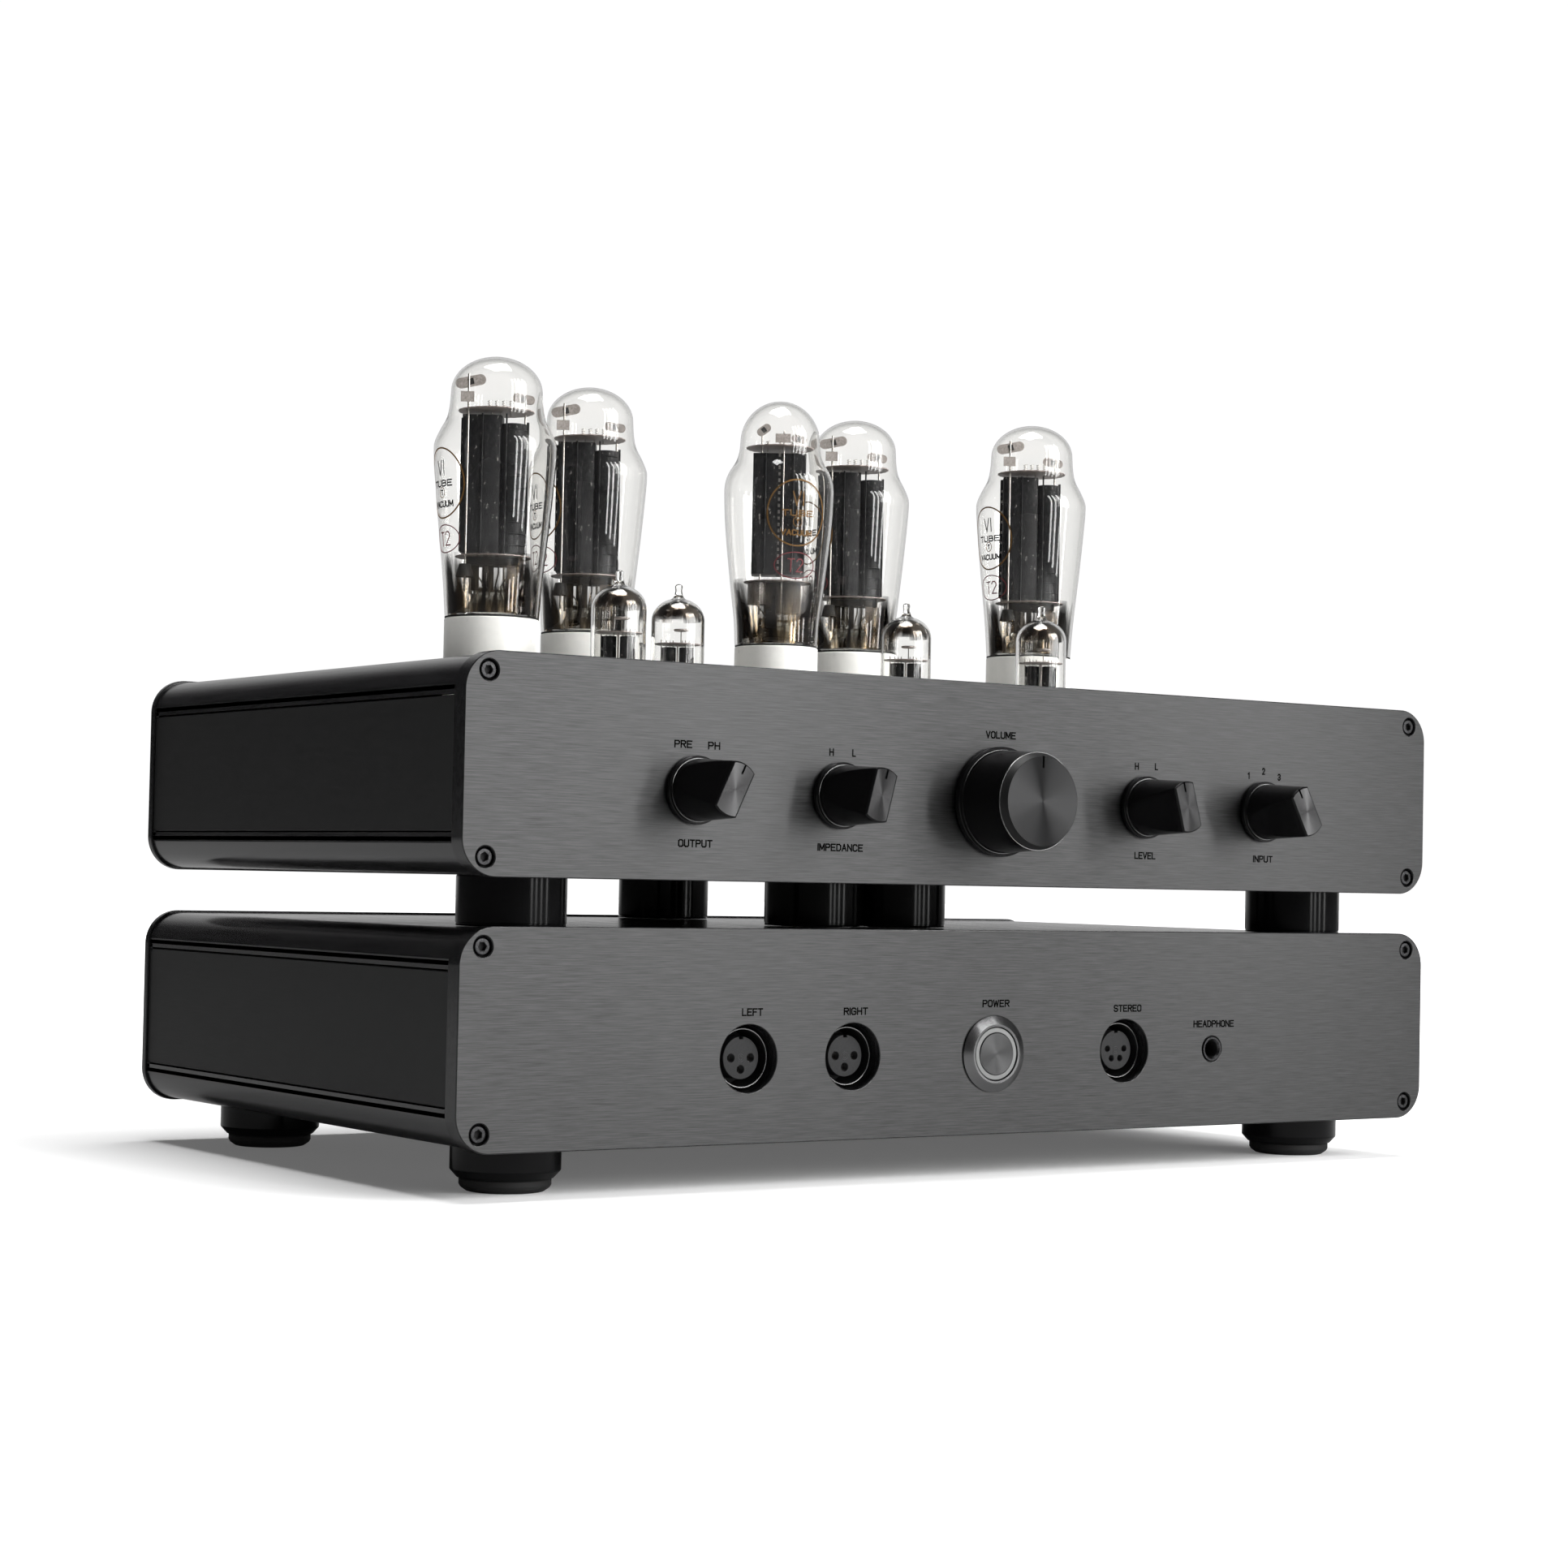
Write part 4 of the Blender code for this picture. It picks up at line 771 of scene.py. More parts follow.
def add_xlr(node, pins, pin_radius):
    """A socket set behind its hole: a rim, a deep ring gap and a grey insert with the pin holes."""
    place = SOCKETS[node]
    shell = Shape()
    shell.turn([(11.75, -4.1), (11.75, -30), (0, -30), (0, -16), (10.0, -16), (10.0, -4.35), (10.15, -4.1)],
               [1, 1, 1, 1, 1, 0])
    shell.turn([(10.3, -4.1), (10.3, -4.0), (9.98, -4.02), (9.9, -4.3), (10.1, -4.4)], 2, closed=True)
    stand_in(node, shell.mesh(node), (MOULDING, DARK, KNOB_LINE), on_front(place), facing_front())
    key = arc((place.x, place.z), 7.4, 96, 444, 96)
    notch = [(place.x + 0.75, place.z + 6.5), (place.x - 0.75, place.z + 6.5)]
    holes = [circle(place.x + x, place.z + z, pin_radius, 32) for x, z in pins]
    mesh = sheet_form(node + "_insert", [key + notch, *holes], FRONT + 4.9, FRONT + 16, 0.2)
    piece(node + "_insert", mesh, (INSERT,))
    detail = Shape()
    outer, inner = pin_radius - 0.05, pin_radius - 0.45
    for x, z in pins:
        spot = Matrix.Translation((x, z, 0))
        detail.turn([(outer, -7.4), (outer, -9), (inner, -9), (inner, -7.4)], 0, 32, True, spot)
        # A deep black disc closes each pin hole: painted shade for the depth of the hole.
        detail.turn([(pin_radius, -9), (0, -9)], 1, 32, matrix=spot)
    for radius in (1.45, 0.8):
        ring = [(radius, -4.92), (radius, -4.82), (radius - 0.18, -4.82), (radius - 0.18, -4.92)]
        detail.turn(ring, 2, 48, True)
    piece(node + "_contacts", detail, (CONTACT, DARK, MOULDING), "chassis",
          at=on_front(place), turn=facing_front())


def add_front_fittings():
    for node in ("xlr_socket_left", "xlr_socket_right"):
        add_xlr(node, [(-4.1, 0.0), (4.1, 0.0), (0.0, -4.0)], 1.5)
    add_xlr("xlr_socket_stereo", [(-4.1, 0.5), (4.1, 0.5), (-2.1, -3.1), (2.1, -3.1)], 1.2)
    jack = Shape()
    jack.turn([(4.9, -0.9), (4.62, -0.9), (4.6, 0.15), (4.45, 0.3), (3.9, 0.3), (3.3, -0.4), (3.2, -0.7),
               (3.2, -33), (0, -33), (0, -36), (9, -36), (9, -7.8), (4.9, -7.8)],
              [1, 0, 0, 0, 0, 1, 1, 1, 1, 1, 1, 1], 64)
    stand_in("headphone_jack", jack, (SCREW, DARK), on_front(JACK), facing_front())
    bezel = Shape()
    bezel.turn([(9.85, -8), (9.85, 2.1), (9.95, 2.2), (10.75, 2.25), (10.95, 2.15), (13.8, 0.75),
                (14.05, 0.55), (14.05, 0.05), (12.3, 0.05), (12.3, -30), (0, -30), (0, -8)],
               [1, 0, 0, 0, 0, 0, 0, 1, 1, 1, 1])
    piece("power_switch_fine", bezel, (STEEL, DARK), "chassis",
          "power_switch_body", on_front(POWER), facing_front())
    button = Shape()
    button.turn([(0, -4.5), (9.5, -4.5), (9.5, 1.7), (9.35, 1.9), (7.95, 1.95), (7.85, 1.75), (7.75, 1.75),
                 (7.72, 2.1), (7.55, 2.25), (0, 2.25)], [0, 0, 1, 1, 1, 2, 2, 0, 3])
    stand_in("power_button", button, (STEEL, LAMP_RING, DARK, STEEL_SPUN),
             on_front(POWER), facing_front(), "power_button")


# Lettering

# Each letter is pen strokes on a grid 4 wide and 6 tall.
BOWL = [(0, 5), (1, 6), (3, 6), (4, 5), (4, 1), (3, 0), (1, 0), (0, 1)]
LETTERS = {
    "A": [[(0, 0), (2, 6), (4, 0)], [(0.7, 2), (3.3, 2)]],
    "B": [[(0, 0), (0, 6), (2.8, 6), (3.8, 5.2), (3.8, 4), (2.8, 3.2), (0, 3.2)],
          [(2.8, 3.2), (4, 2.4), (4, 0.9), (3, 0), (0, 0)]],
    "C": [[(4, 5), (3, 6), (1, 6), (0, 5), (0, 1), (1, 0), (3, 0), (4, 1)]],
    "D": [[(0, 0), (0, 6), (2.6, 6), (4, 4.6), (4, 1.4), (2.6, 0), (0, 0)]],
    "E": [[(4, 0), (0, 0), (0, 6), (4, 6)], [(0, 3.1), (3.4, 3.1)]],
    "F": [[(0, 0), (0, 6), (4, 6)], [(0, 3.1), (3.2, 3.1)]],
    "G": [[(4, 5), (3, 6), (1, 6), (0, 5), (0, 1), (1, 0), (3, 0), (4, 1), (4, 2.8), (2.2, 2.8)]],
    "H": [[(0, 0), (0, 6)], [(4, 0), (4, 6)], [(0, 3.1), (4, 3.1)]],
    "I": [[(0, 0), (0, 6)]],
    "L": [[(0, 6), (0, 0), (3.6, 0)]],
    "M": [[(0, 0), (0, 6), (2.3, 1.2), (4.6, 6), (4.6, 0)]],
    "N": [[(0, 0), (0, 6), (4, 0), (4, 6)]],
    "O": [BOWL + BOWL[:1]],
    "P": [[(0, 0), (0, 6), (3, 6), (4, 5.2), (4, 3.7), (3, 2.9), (0, 2.9)]],
    "R": [[(0, 0), (0, 6), (3, 6), (4, 5.2), (4, 3.9), (3, 3.1), (0, 3.1)], [(2, 3.1), (4, 0)]],
    "S": [[(4, 5), (3, 6), (1, 6), (0, 5), (0, 4), (1, 3.1), (3, 2.9), (4, 2), (4, 1), (3, 0), (1, 0),
           (0, 1)]],
    "T": [[(0, 6), (4, 6)], [(2, 0), (2, 6)]],
    "U": [[(0, 6), (0, 1), (1, 0), (3, 0), (4, 1), (4, 6)]],
    "V": [[(0, 6), (2, 0), (4, 6)]],
    "W": [[(0, 6), (1.2, 0), (2.6, 5.2), (4, 0), (5.2, 6)]],
    "1": [[(0, 4.8), (1.4, 6), (1.4, 0)]],
    "2": [[(0, 5), (1, 6), (3, 6), (4, 5), (4, 4), (0, 0), (4, 0)]],
    "3": [[(0, 5), (1, 6), (3, 6), (4, 5), (4, 4), (3, 3), (1.6, 3)],
          [(3, 3), (4, 2), (4, 1), (3, 0), (1, 0), (0, 1)]],
}


def letter_strokes(text):
    """Pen strokes of a word, and its width on the same grid."""
    strokes = []
    x = 0.0
    for letter in text:
        if letter == " ":
            x += 3.0
            continue
        drawn = LETTERS[letter]
        strokes += [[(px + x, pz) for px, pz in stroke] for stroke in drawn]
        x += max(px for stroke in drawn for px, _ in stroke) + 1.7
    return strokes, x - 1.7


def lettering(name, words, surface, facing_rear=False, ink=None, height=2.7, pen=0.5):
    """Each word as (text, x, z, width), printed on a face and joined into one piece."""
    shape = Shape()
    flip = -1 if facing_rear else 1
    proud = 0.06 * flip
    for text, x, z, width in words:
        strokes, span = letter_strokes(text)
        wide = (width - pen) / span if span else 0.0
        tall = (height - pen) / 6
        for stroke in strokes:
            path = [Vector((x + flip * (px - span / 2) * wide, surface, z + (pz - 3) * tall))
                    for px, pz in stroke]
            for a, b in zip(path, path[1:]):
                along = (b - a).normalized()
                side = along.cross(Vector((0, 1, 0))) * pen / 2
                a, b = a - along * pen / 2, b + along * pen / 2
                ring = [a + side, b + side, b - side, a - side]
                shape.loft([[p - Vector((0, d, 0)) for p in ring] for d in (-0.02 * flip, proud)])
    piece(name, shape, (ink or INK,))


def add_labels():
    z = UPPER
    upper = [
        ("PRE", -137.6, z + 46.6, 7.3), ("PH", -125.0, z + 46.5, 5.0), ("OUTPUT", -131.9, z + 12.8, 14.0),
        ("H", -75.3, z + 46.3, 2.0), ("L", -65.5, z + 46.3, 1.6), ("IMPEDANCE", -70.7, z + 12.7, 19.8),
        ("VOLUME", 1.0, z + 55.5, 14.1),
        ("H", 67.3, z + 46.5, 2.0), ("L", 77.2, z + 46.7, 1.6), ("LEVEL", 72.1, z + 12.7, 10.6),
        ("1", 125.1, z + 45.0, 1.0), ("2", 133.0, z + 46.9, 1.6), ("3", 141.4, z + 44.9, 1.6),
        ("INPUT", 133.3, z + 12.6, 10.4),
    ]
    z = LOWER
    lower = [
        ("LEFT", -106.8, z + 45.6, 8.8), ("RIGHT", -62.5, z + 45.5, 10.6), ("POWER", 1.0, z + 47.8, 12.6),
        ("STEREO", 64.7, z + 45.5, 13.8), ("HEADPHONE", 108.8, z + 39.2, 21.0),
    ]
    lettering("upper_front_lettering", upper, FRONT)
    lettering("lower_front_lettering", lower, FRONT)
    groups = ("INPUT 1", "INPUT 2", "INPUT 3", "PRE OUT")
    places = phono_places()[::-1]
    rear = []
    for i, text in enumerate(groups):
        first, second = places[2 * i], places[2 * i + 1]
        rear.append((text, (first[0] + second[0]) / 2, first[1] + 12.0, 15.0))
        rear += [("L", first[0], first[1] - 9.5, 1.6), ("R", second[0], second[1] - 9.5, 2.0)]
    lettering("upper_rear_lettering", rear, REAR, True, INK_LIGHT)
    inlet = middle("mains_inlet")
    lettering("lower_rear_lettering", [("AC INPUT", inlet.x, inlet.z + 18.0, 18.0)], REAR, True, INK_LIGHT)


# Rear fittings


def phono_places():
    """Middles of the phono jacks, from the block's width and the way they share it."""
    low, high = box("signal_jack_block")
    pitch = (high.x - low.x) / 8
    return [(low.x + pitch * (i + 0.5), (low.z + high.z) / 2) for i in range(8)]


def add_rear_fittings():
    low, high = box("signal_jack_block")
    block = Shape()
    block.block(low, (high.x, REAR - 3.3, high.z))
    stand_in("signal_jack_block", block.mesh("signal_jack_block_fine", bevel=0.4), (MOULDING,))
    reach = high.y - REAR
    jack = Shape()
    jack.turn([(0, -12), (1.7, -12), (1.7, reach - 0.3), (1.9, reach), (3.8, reach), (4.15, reach - 0.35),
               (4.15, 1.6), (0, 1.6)], 0, 64)
    jack.turn([(6.4, 0.05), (6.4, 1.2), (6.0, 1.7), (4.3, 1.7), (4.3, 0.05)], 1, 64, True)
    hexagon = [polar(7.4, math.pi / 3 * i) for i in range(6)]
    jack.loft([[p + Vector((0, 0, h)) for p in hexagon] for h in (0.0, 0.9)], 0)
    jack.turn([(2.9, reach + 0.01), (2.9, reach - 0.4), (1.75, reach - 0.4), (1.75, reach + 0.01)], 2, 48,
              True)
    for number, (x, z) in enumerate(phono_places()):
        ring = PLUG_RED if number % 2 == 0 else PLUG_WHITE
        piece(f"phono_jack_{number}", jack, (BRASS, ring, PLUG_WHITE), at=(x, REAR, z), turn=FACING_BACK)
    low, high = box("mains_inlet")
    centre = (low + high) / 2
    loops = [rounded_rectangle(centre.x, centre.z, 34, 26, 2.5, 8),
             rounded_rectangle(centre.x, centre.z, 24, 16.4, 2.0, 8)]
    flange = sheet_form("mains_inlet_fine", loops, REAR + 0.1, high.y, 0.4)
    stand_in("mains_inlet", flange, (MOULDING,))
    loops = [rounded_rectangle(centre.x, centre.z, 27.4, 20.2, 1.5, 8),
             rounded_rectangle(centre.x, centre.z, 24, 16.4, 2.0, 8)]
    body = sheet_form("mains_inlet_body", loops, REAR - 20, REAR + 0.5)
    piece("mains_inlet_body", body, (MOULDING,))
    inside = Shape()
    inside.block((centre.x - 12.5, REAR - 16, centre.z - 8.6),
                 (centre.x + 12.5, high.y - 16, centre.z + 8.6), 0)
    for x, z in ((-7, -2), (0, 2), (7, -2)):
        x, z = centre.x + x, centre.z + z
        inside.block((x - 1, high.y - 16.5, z - 2), (x + 1, high.y - 6, z + 2), 1)
    piece("mains_inlet_pins", inside.mesh("mains_inlet_pins", bevel=0.25), (MOULDING, CONTACT))


# Tubes

POWER_OUTLINE = [(17.9, 24.4), (18.1, 26.6), (18.7, 35.6), (19.5, 44.5), (21.4, 62.5), (23.0, 80.4),
                 (23.5, 88.0), (23.2, 91.6), (21.2, 96.2), (18.8, 100.8), (17.8, 106.0), (17.45, 111.2)]
RECTIFIER_OUTLINE = [(16.75, 21.3), (17.0, 23.0), (17.5, 32.3), (19.4, 48.0), (21.6, 68.9), (22.3, 82.0),
                     (22.1, 87.5), (20.6, 92.0), (18.0, 96.2), (16.6, 100.4), (16.2, 104.5)]
LOOK = Matrix.Rotation(math.radians(-34.8), 4, "Z")
BULB_WALL = 0.75
POWER_DOME = 13.4
RECTIFIER_DOME = 16.9
# Radius and top of each ceramic base.
POWER_BASE = (18.1, 24.2)
RECTIFIER_BASE = (16.9, 21.1)
# The direction that the print faces, in degrees, and the height of its middle.
POWER_PRINT = (178, 74.5)
RECTIFIER_PRINT = (256, 74.0)
DRIVER_RADIUS = 10.45
FILM_INSET = 1.08
FILM_TOP = 50.0
PRINT_LOW, PRINT_HIGH = 0.02, 0.07
PRINT_BAND = ((0, PRINT_LOW), (1, PRINT_LOW), (1, PRINT_HIGH), (0, PRINT_HIGH))


def bulb(name, outline, dome_height, wall=BULB_WALL):
    """A blown bulb with a closed wall: up its outside, over the top, and down inside to the open foot."""
    rim = outline[-1]
    outer = smooth(outline) + half_dome(rim[0], rim[1], rim[1] + dome_height, 14)
    inner = [(max(r - wall, 0.0) if r > 0.01 else 0.0, h) for r, h in smooth(outline)]
    inner += half_dome(rim[0] - wall, rim[1], rim[1] + dome_height - wall, 14)
    shape = Shape()
    foot = [(inner[0][0] + wall / 2, outline[0][1] - 0.35)]
    shape.turn(foot + outer + inner[::-1], closed=True)
    return shape.mesh(name)


def film(name, outline, low):
    """The inside of the bulb from low to FILM_TOP, as a skin that carries the getter's mirror."""
    points = [(r - FILM_INSET, h) for r, h in smooth(outline) if low <= h <= FILM_TOP]
    shape = Shape()
    shape.turn(points)
    return shape.mesh(name)


def radius_at(outline, height):
    points = smooth(outline)
    for (r0, h0), (r1, h1) in zip(points, points[1:]):
        if h0 <= height <= h1:
            return r0 + (r1 - r0) * (height - h0) / (h1 - h0)
    return points[-1][0]


def printed_ring(shape, outline, facing, height, half_width, half_height, line, slot):
    """An oval line printed on the bulb's outside round the direction facing, in degrees."""
    steps = 72
    rings = []
    for i in range(steps + 1):
        a = 2 * math.pi * i / steps
        ring = []
        for share, lift in PRINT_BAND:
            grow = line * share
            u = (half_width + grow) * math.cos(a)
            z = height + (half_height + grow) * math.sin(a)
            r = radius_at(outline, z)
            ring.append(polar(r + lift, math.radians(facing) + u / r, z))
        rings.append(ring)
    shape.loft(rings, slot, False)


def strip(shape, centre, width, height, tilt, slot):
    """A getter holder: a thin plate with round ends, tilted, with a darker square in its middle."""
    ends = [arc((width / 2 - height / 2, 0), height / 2, -90, 90, 10),
            arc((height / 2 - width / 2, 0), height / 2, 90, 270, 10)]
    outline = [p for end in ends for p in end]
    lean = LOOK @ Matrix.Rotation(math.radians(tilt), 4, "Y")
    place = Matrix.Translation(centre) @ lean
    shape.loft([[(x, y, z) for x, z in outline] for y in (-0.12, 0.12)], slot, matrix=place)
    inner = [(x * 0.82, z * 0.62) for x, z in outline]
    shape.loft([[(x, y, z) for x, z in inner] for y in (-0.22, -0.1)], slot, matrix=place)
    shape.block((-height * 0.26, -0.35, -height * 0.3), (height * 0.26, 0.3, height * 0.3), 3, matrix=place)


def spring(shape, start, turns, radius, pitch, slot):
    angles = [0.7 * i for i in range(int(turns * 9))]
    path = [Vector(start) + polar(radius, a, pitch * a / (2 * math.pi)) for a in angles]
    shape.wire(path, 0.13, slot, 5)


def lobe(points, low, high, shape, slot):
    """An upright bar of one section."""
    shape.loft([[(x, y, z) for x, y in points] for z in (low, high)], slot, matrix=LOOK)


def slab(x0, y0, x1, y1, low, high, shape, slot):
    lobe([(x0, y0), (x1, y0), (x1, y1), (x0, y1)], low, high, shape, slot)


def rod(shape, x, y, low, high, radius, slot, sides=8):
    shape.wire([(x, y, low), (x, y, high)], radius, slot, sides, LOOK)


def mica(shape, radius, height, slot, teeth=24):
    """A thin disc with small teeth that touch the glass."""
    turns = full_turn(teeth * 4)
    rims = [radius + (0.35 if i % 4 < 2 else 0.0) for i in range(teeth * 4)]
    shape.loft([[polar(r, a, h) for r, a in zip(rims, turns)] for h in (height - 0.18, height + 0.18)], slot)


def stem(shape, base, top, radius, wires, glass_slot, wire_slot, reach):
    """The glass foot inside a bulb, pressed flat round the wires that go up to the electrodes."""
    turns = full_turn(48)
    rings = []
    for r, flat, h in ((radius, 1.0, base), (radius * 0.72, 1.0, base + 2.5), (radius * 0.6, 0.8, base + 6),
                       (radius * 0.62, 0.38, top - 2), (radius * 0.58, 0.34, top),
                       (radius * 0.4, 0.2, top + 0.6)):
        rings.append([Vector((r * math.cos(a), flat * r * math.sin(a), h)) for a in turns])
    shape.loft(rings, glass_slot, matrix=LOOK)
    for i in range(wires):
        x = (i - (wires - 1) / 2) * radius * 0.95 / wires
        out = x * 2.0
        path = [(x, 0, base + 4), (x, 0, top + 1), (out, 0.4 * (-1) ** i, (reach + top) / 2), (out, 0, reach)]
        shape.wire(path, 0.32, wire_slot, 8, LOOK)


def triode_inside():
    """Electrodes of a power triode: a two-part anode between mica discs, its rods, springs and getters."""
    s = Shape()
    anode, wire, disc, dark, glass, plate = range(6)
    low, high = 49.0, 101.6
    flat = [(-12.2, -6.0), (-11.6, -6.6), (2.0, -6.6), (2.6, -6.0), (2.6, 6.0), (2.0, 6.6),
            (-11.6, 6.6), (-12.2, 6.0)]
    lobe(flat, low, high, s, anode)
    front = oval(7.0, -1.6, 4.9, 5.6, range(180, 361, 12))
    back = oval(7.0, 1.6, 4.9, 5.6, range(0, 181, 12))
    lobe(front + back, low, high - 3.2, s, anode)
    slab(11.6, -1.0, 12.6, 1.0, low, high - 2.0, s, anode)
    slab(-13.3, -0.7, -12.0, 0.7, low + 1, high - 0.5, s, anode)
    for i in range(11):
        z = low + 3 + 4.4 * i
        rib = [(x, y, z) for x, y in oval(7.0, -1.6, 5.08, 5.8, range(262, 358, 8))]
        s.wire(rib, 0.22, anode, 6, LOOK)
        s.block((-12.9, -1.3, z - 0.5), (-12.3, -0.6, z + 0.5), wire, LOOK)
    for x in (-4.5, 4.6):
        rod(s, x, -6.9, low - 1, high + 0.5, 0.35, anode)
    for x, y in ((-9.8, -8.2), (10.6, 6.4)):
        top = high + (15.2 if x < 0 else 7.5)
        s.wire([(x, y, 34), (x, y, high + 4), (x, y, top)], 0.42, wire, 10, LOOK)
    for x in (-5.5, -1.8, 1.8, 5.5):
        rod(s, x, 0, high, high + 3.6, 0.25, wire, 6)
        spring(s, LOOK @ Vector((x * 0.75 + 1.5, 0.0, high + 3.8)), 3, 0.75, 0.9, wire)
    mica(s, 14.2, high + 2.0, disc)
    mica(s, 14.2, low - 1.2, disc)
    strip(s, LOOK @ Vector((-9.4, -5.2, high + 12.8)), 11.6, 4.2, -12, plate)
    strip(s, LOOK @ Vector((9.8, 6.6, high + 8.2)), 9.0, 3.6, 10, plate)
    s.block((-12.6, -9.4, high + 4.4), (-7.6, -9.0, high + 8.4), plate, LOOK)
    for x in (-9, -3, 4, 9):
        s.wire([(x, 3, 34), (x, 2, low - 1.5)], 0.5, wire, 8, LOOK)
    slab(-10, -5, 10, 5, low - 4.5, low - 1.6, s, dark)
    for x, y, width in ((-8.0, -3.0, 3.0), (-1.5, -4.0, 2.2), (5.5, -3.5, 3.4), (9.5, 1.5, 2.0),
                        (-4.5, 4.0, 3.0)):
        slab(x, y, x + width, y + 0.4, 35.0, low - 4.5, s, plate if x > 4 else dark)
    s.turn([(2.2, low - 4.6), (3.4, low - 9.5), (3.1, low - 9.5), (1.9, low - 4.6)], dark, 32, True,
           Matrix.Translation(LOOK @ Vector((-9.8, -8.2, 0))))
    s.turn([(0.4, 36.5), (2.6, 31.5), (2.4, 31.5), (0.3, 36.3)], dark, 32, True,
           Matrix.Translation(LOOK @ Vector((9.0, -6.0, 0))))
    stem(s, 26.0, 36.0, 13.5, 6, glass, wire, low - 1.5)
    return s.mesh("triode_inside")


def rectifier_inside():
    """Electrodes of the rectifier: two flat-sided black anodes with a dark strip down the gap and a row of
    small nickel blocks on it.
    """
    s = Shape()
    anode, wire, disc, dark, glass, plate = range(6)
    low, high = 50.5, 99.5
    for side in (-1, 1):
        x0, x1 = 0.75 * side, 10.2 * side
        lobe([(x0, -6.2), (x1, -6.2), (x1 + 0.5 * side, -5.4), (x1 + 0.5 * side, 5.4), (x1, 6.2), (x0, 6.2)],
             low, high, s, anode)
        rod(s, x1 - 4.6 * side, -6.4, low, high, 0.4, anode)
    slab(-0.8, -5.6, 0.8, 5.6, low, high, s, dark)
    for i in range(19):
        z = low + 1.8 + 2.55 * i
        s.block((-0.42, -6.0, z), (0.42, -5.5, z + 1.3), wire, LOOK)
    mica(s, 13.4, high + 2.6, disc)
    mica(s, 13.4, low - 3.0, disc)
    for x, y, top in ((-7.2, -5.5, high + 8.4), (1.6, -6.0, high + 9.0), (7.4, 5.5, high + 6.0)):
        rod(s, x, y, 34, top, 0.36, wire)
    for x in (-5, 0, 5):
        rod(s, x, 0, high, high + 5.5, 0.25, wire, 6)
        spring(s, LOOK @ Vector((x, 0, high + 3.2)), 3, 0.7, 0.9, wire)
    strip(s, LOOK @ Vector((-6.6, -6.0, high + 9.4)), 6.2, 3.4, -38, plate)
    s.block((-1.9, -6.5, high + 4.4), (4.2, -6.1, high + 8.0), plate, LOOK)
    strip(s, LOOK @ Vector((7.8, 5.8, high + 7.6)), 6.5, 3.2, 15, plate)
    shield = [(7.4 * math.cos(a), 5.4 * math.sin(a)) for a in full_turn(32)]
    lobe([(x + 2.0, y) for x, y in shield], low - 15.5, low - 3.2, s, dark)
    lobe([(x * 0.55 - 8.0, y * 0.8) for x, y in shield], low - 12.0, low - 3.2, s, plate)
    stem(s, 23.0, 33.0, 12.4, 5, glass, wire, low - 3.0)
    return s.mesh("rectifier_inside")


def driver_inside():
    """Electrodes of a miniature twin triode: two anodes, rods, mica discs and the getter ring."""
    s = Shape()
    anode, wire, disc, _, glass, plate = range(6)
    low, high = 0.5, 17.2
    for side in (-1, 1):
        lobe(oval(3.1 * side, 0, 2.5, 3.1, range(0, 360, 20)), low, high, s, anode)
        rod(s, side * 6.4, 0, low - 2, high + 3, 0.3, wire)
        lobe([(side * 5.4, -0.4), (side * 6.4, -0.4), (side * 6.4, 0.4), (side * 5.4, 0.4)][::side],
             low, high, s, anode)
    slab(-0.25, -4.2, 0.25, 4.2, low - 1, high + 0.8, s, plate)
    mica(s, 8.7, high + 1.2, disc, 16)
    mica(s, 8.7, low - 0.6, disc, 16)
    for x, y in ((-4.5, 0), (-1.8, 0), (1.8, 0), (4.5, 0), (-3.1, 1.4), (3.1, -1.4)):
        rod(s, x, y, high, high + 2.8, 0.2, wire, 6)
    rod(s, 1.2, 2.0, high + 1.2, high + 6.5, 0.22, wire, 6)
    ring = [(x, y, high + 7) for x, y in oval(1.2, 2.0, 2.6, 2.6, range(0, 361, 15))]
    s.wire(ring, 0.45, plate, 8, LOOK)
    s.turn([(9.3, -3.0), (9.3, -1.6), (4.0, -1.2), (0, -1.2), (0, -3.0)], glass, 48)
    for i in range(9):
        a = 2 * math.pi * i / 10
        s.wire([polar(5.9, a, -3.2), polar(5.9, a, -1.0)], 0.5, wire, 8)
    return s.mesh("driver_inside")


def tube_base_mesh(name, radius, top, pins):
    s = Shape()
    s.turn([(0, top - 9), (radius - 2.7, top - 9), (radius - 2.7, top), (radius - 0.5, top),
            (radius, top - 0.5), (radius, -4.2), (radius - 0.8, -5.0), (0, -5.0)], 0)
    s.turn([(radius - 0.15, top + 0.02), (radius - 0.15, top + 0.55), (radius - 2.6, top + 0.55),
            (radius - 2.6, top + 0.02)], 2, closed=True)
    for angle, circle_radius, r in pins:
        profile = [(0, -17), (r * 0.55, -17), (r, -16.2), (r, -5), (0, -5)]
        s.turn(profile, 1, 24, matrix=Matrix.Translation(polar(circle_radius, angle)))
    return s.mesh(name)


def printed_word(shape, outline, facing, text, height, size, pen, slot):
    """A word printed across the bulb's outside, its middle at the height and the direction facing."""
    strokes, span = letter_strokes(text)
    wide, tall = size[0] / span, size[1] / 6
    for stroke in strokes:
        path = [Vector(((px - span / 2) * wide, (pz - 3) * tall)) for px, pz in stroke]
        for start, end in zip(path, path[1:]):
            along = (end - start).normalized() * pen / 2
            side = Vector((-along.y, along.x))
            start, end = start - along, end + along
            rings = []
            for i in range(5):
                ring = []
                for share, lift in PRINT_BAND:
                    spot = start.lerp(end, i / 4) + side * (1 - 2 * share)
                    r = radius_at(outline, height + spot.y)
                    ring.append(polar(r + lift, math.radians(facing) + spot.x / r, height + spot.y))
                rings.append(ring)
            shape.loft(rings, slot)


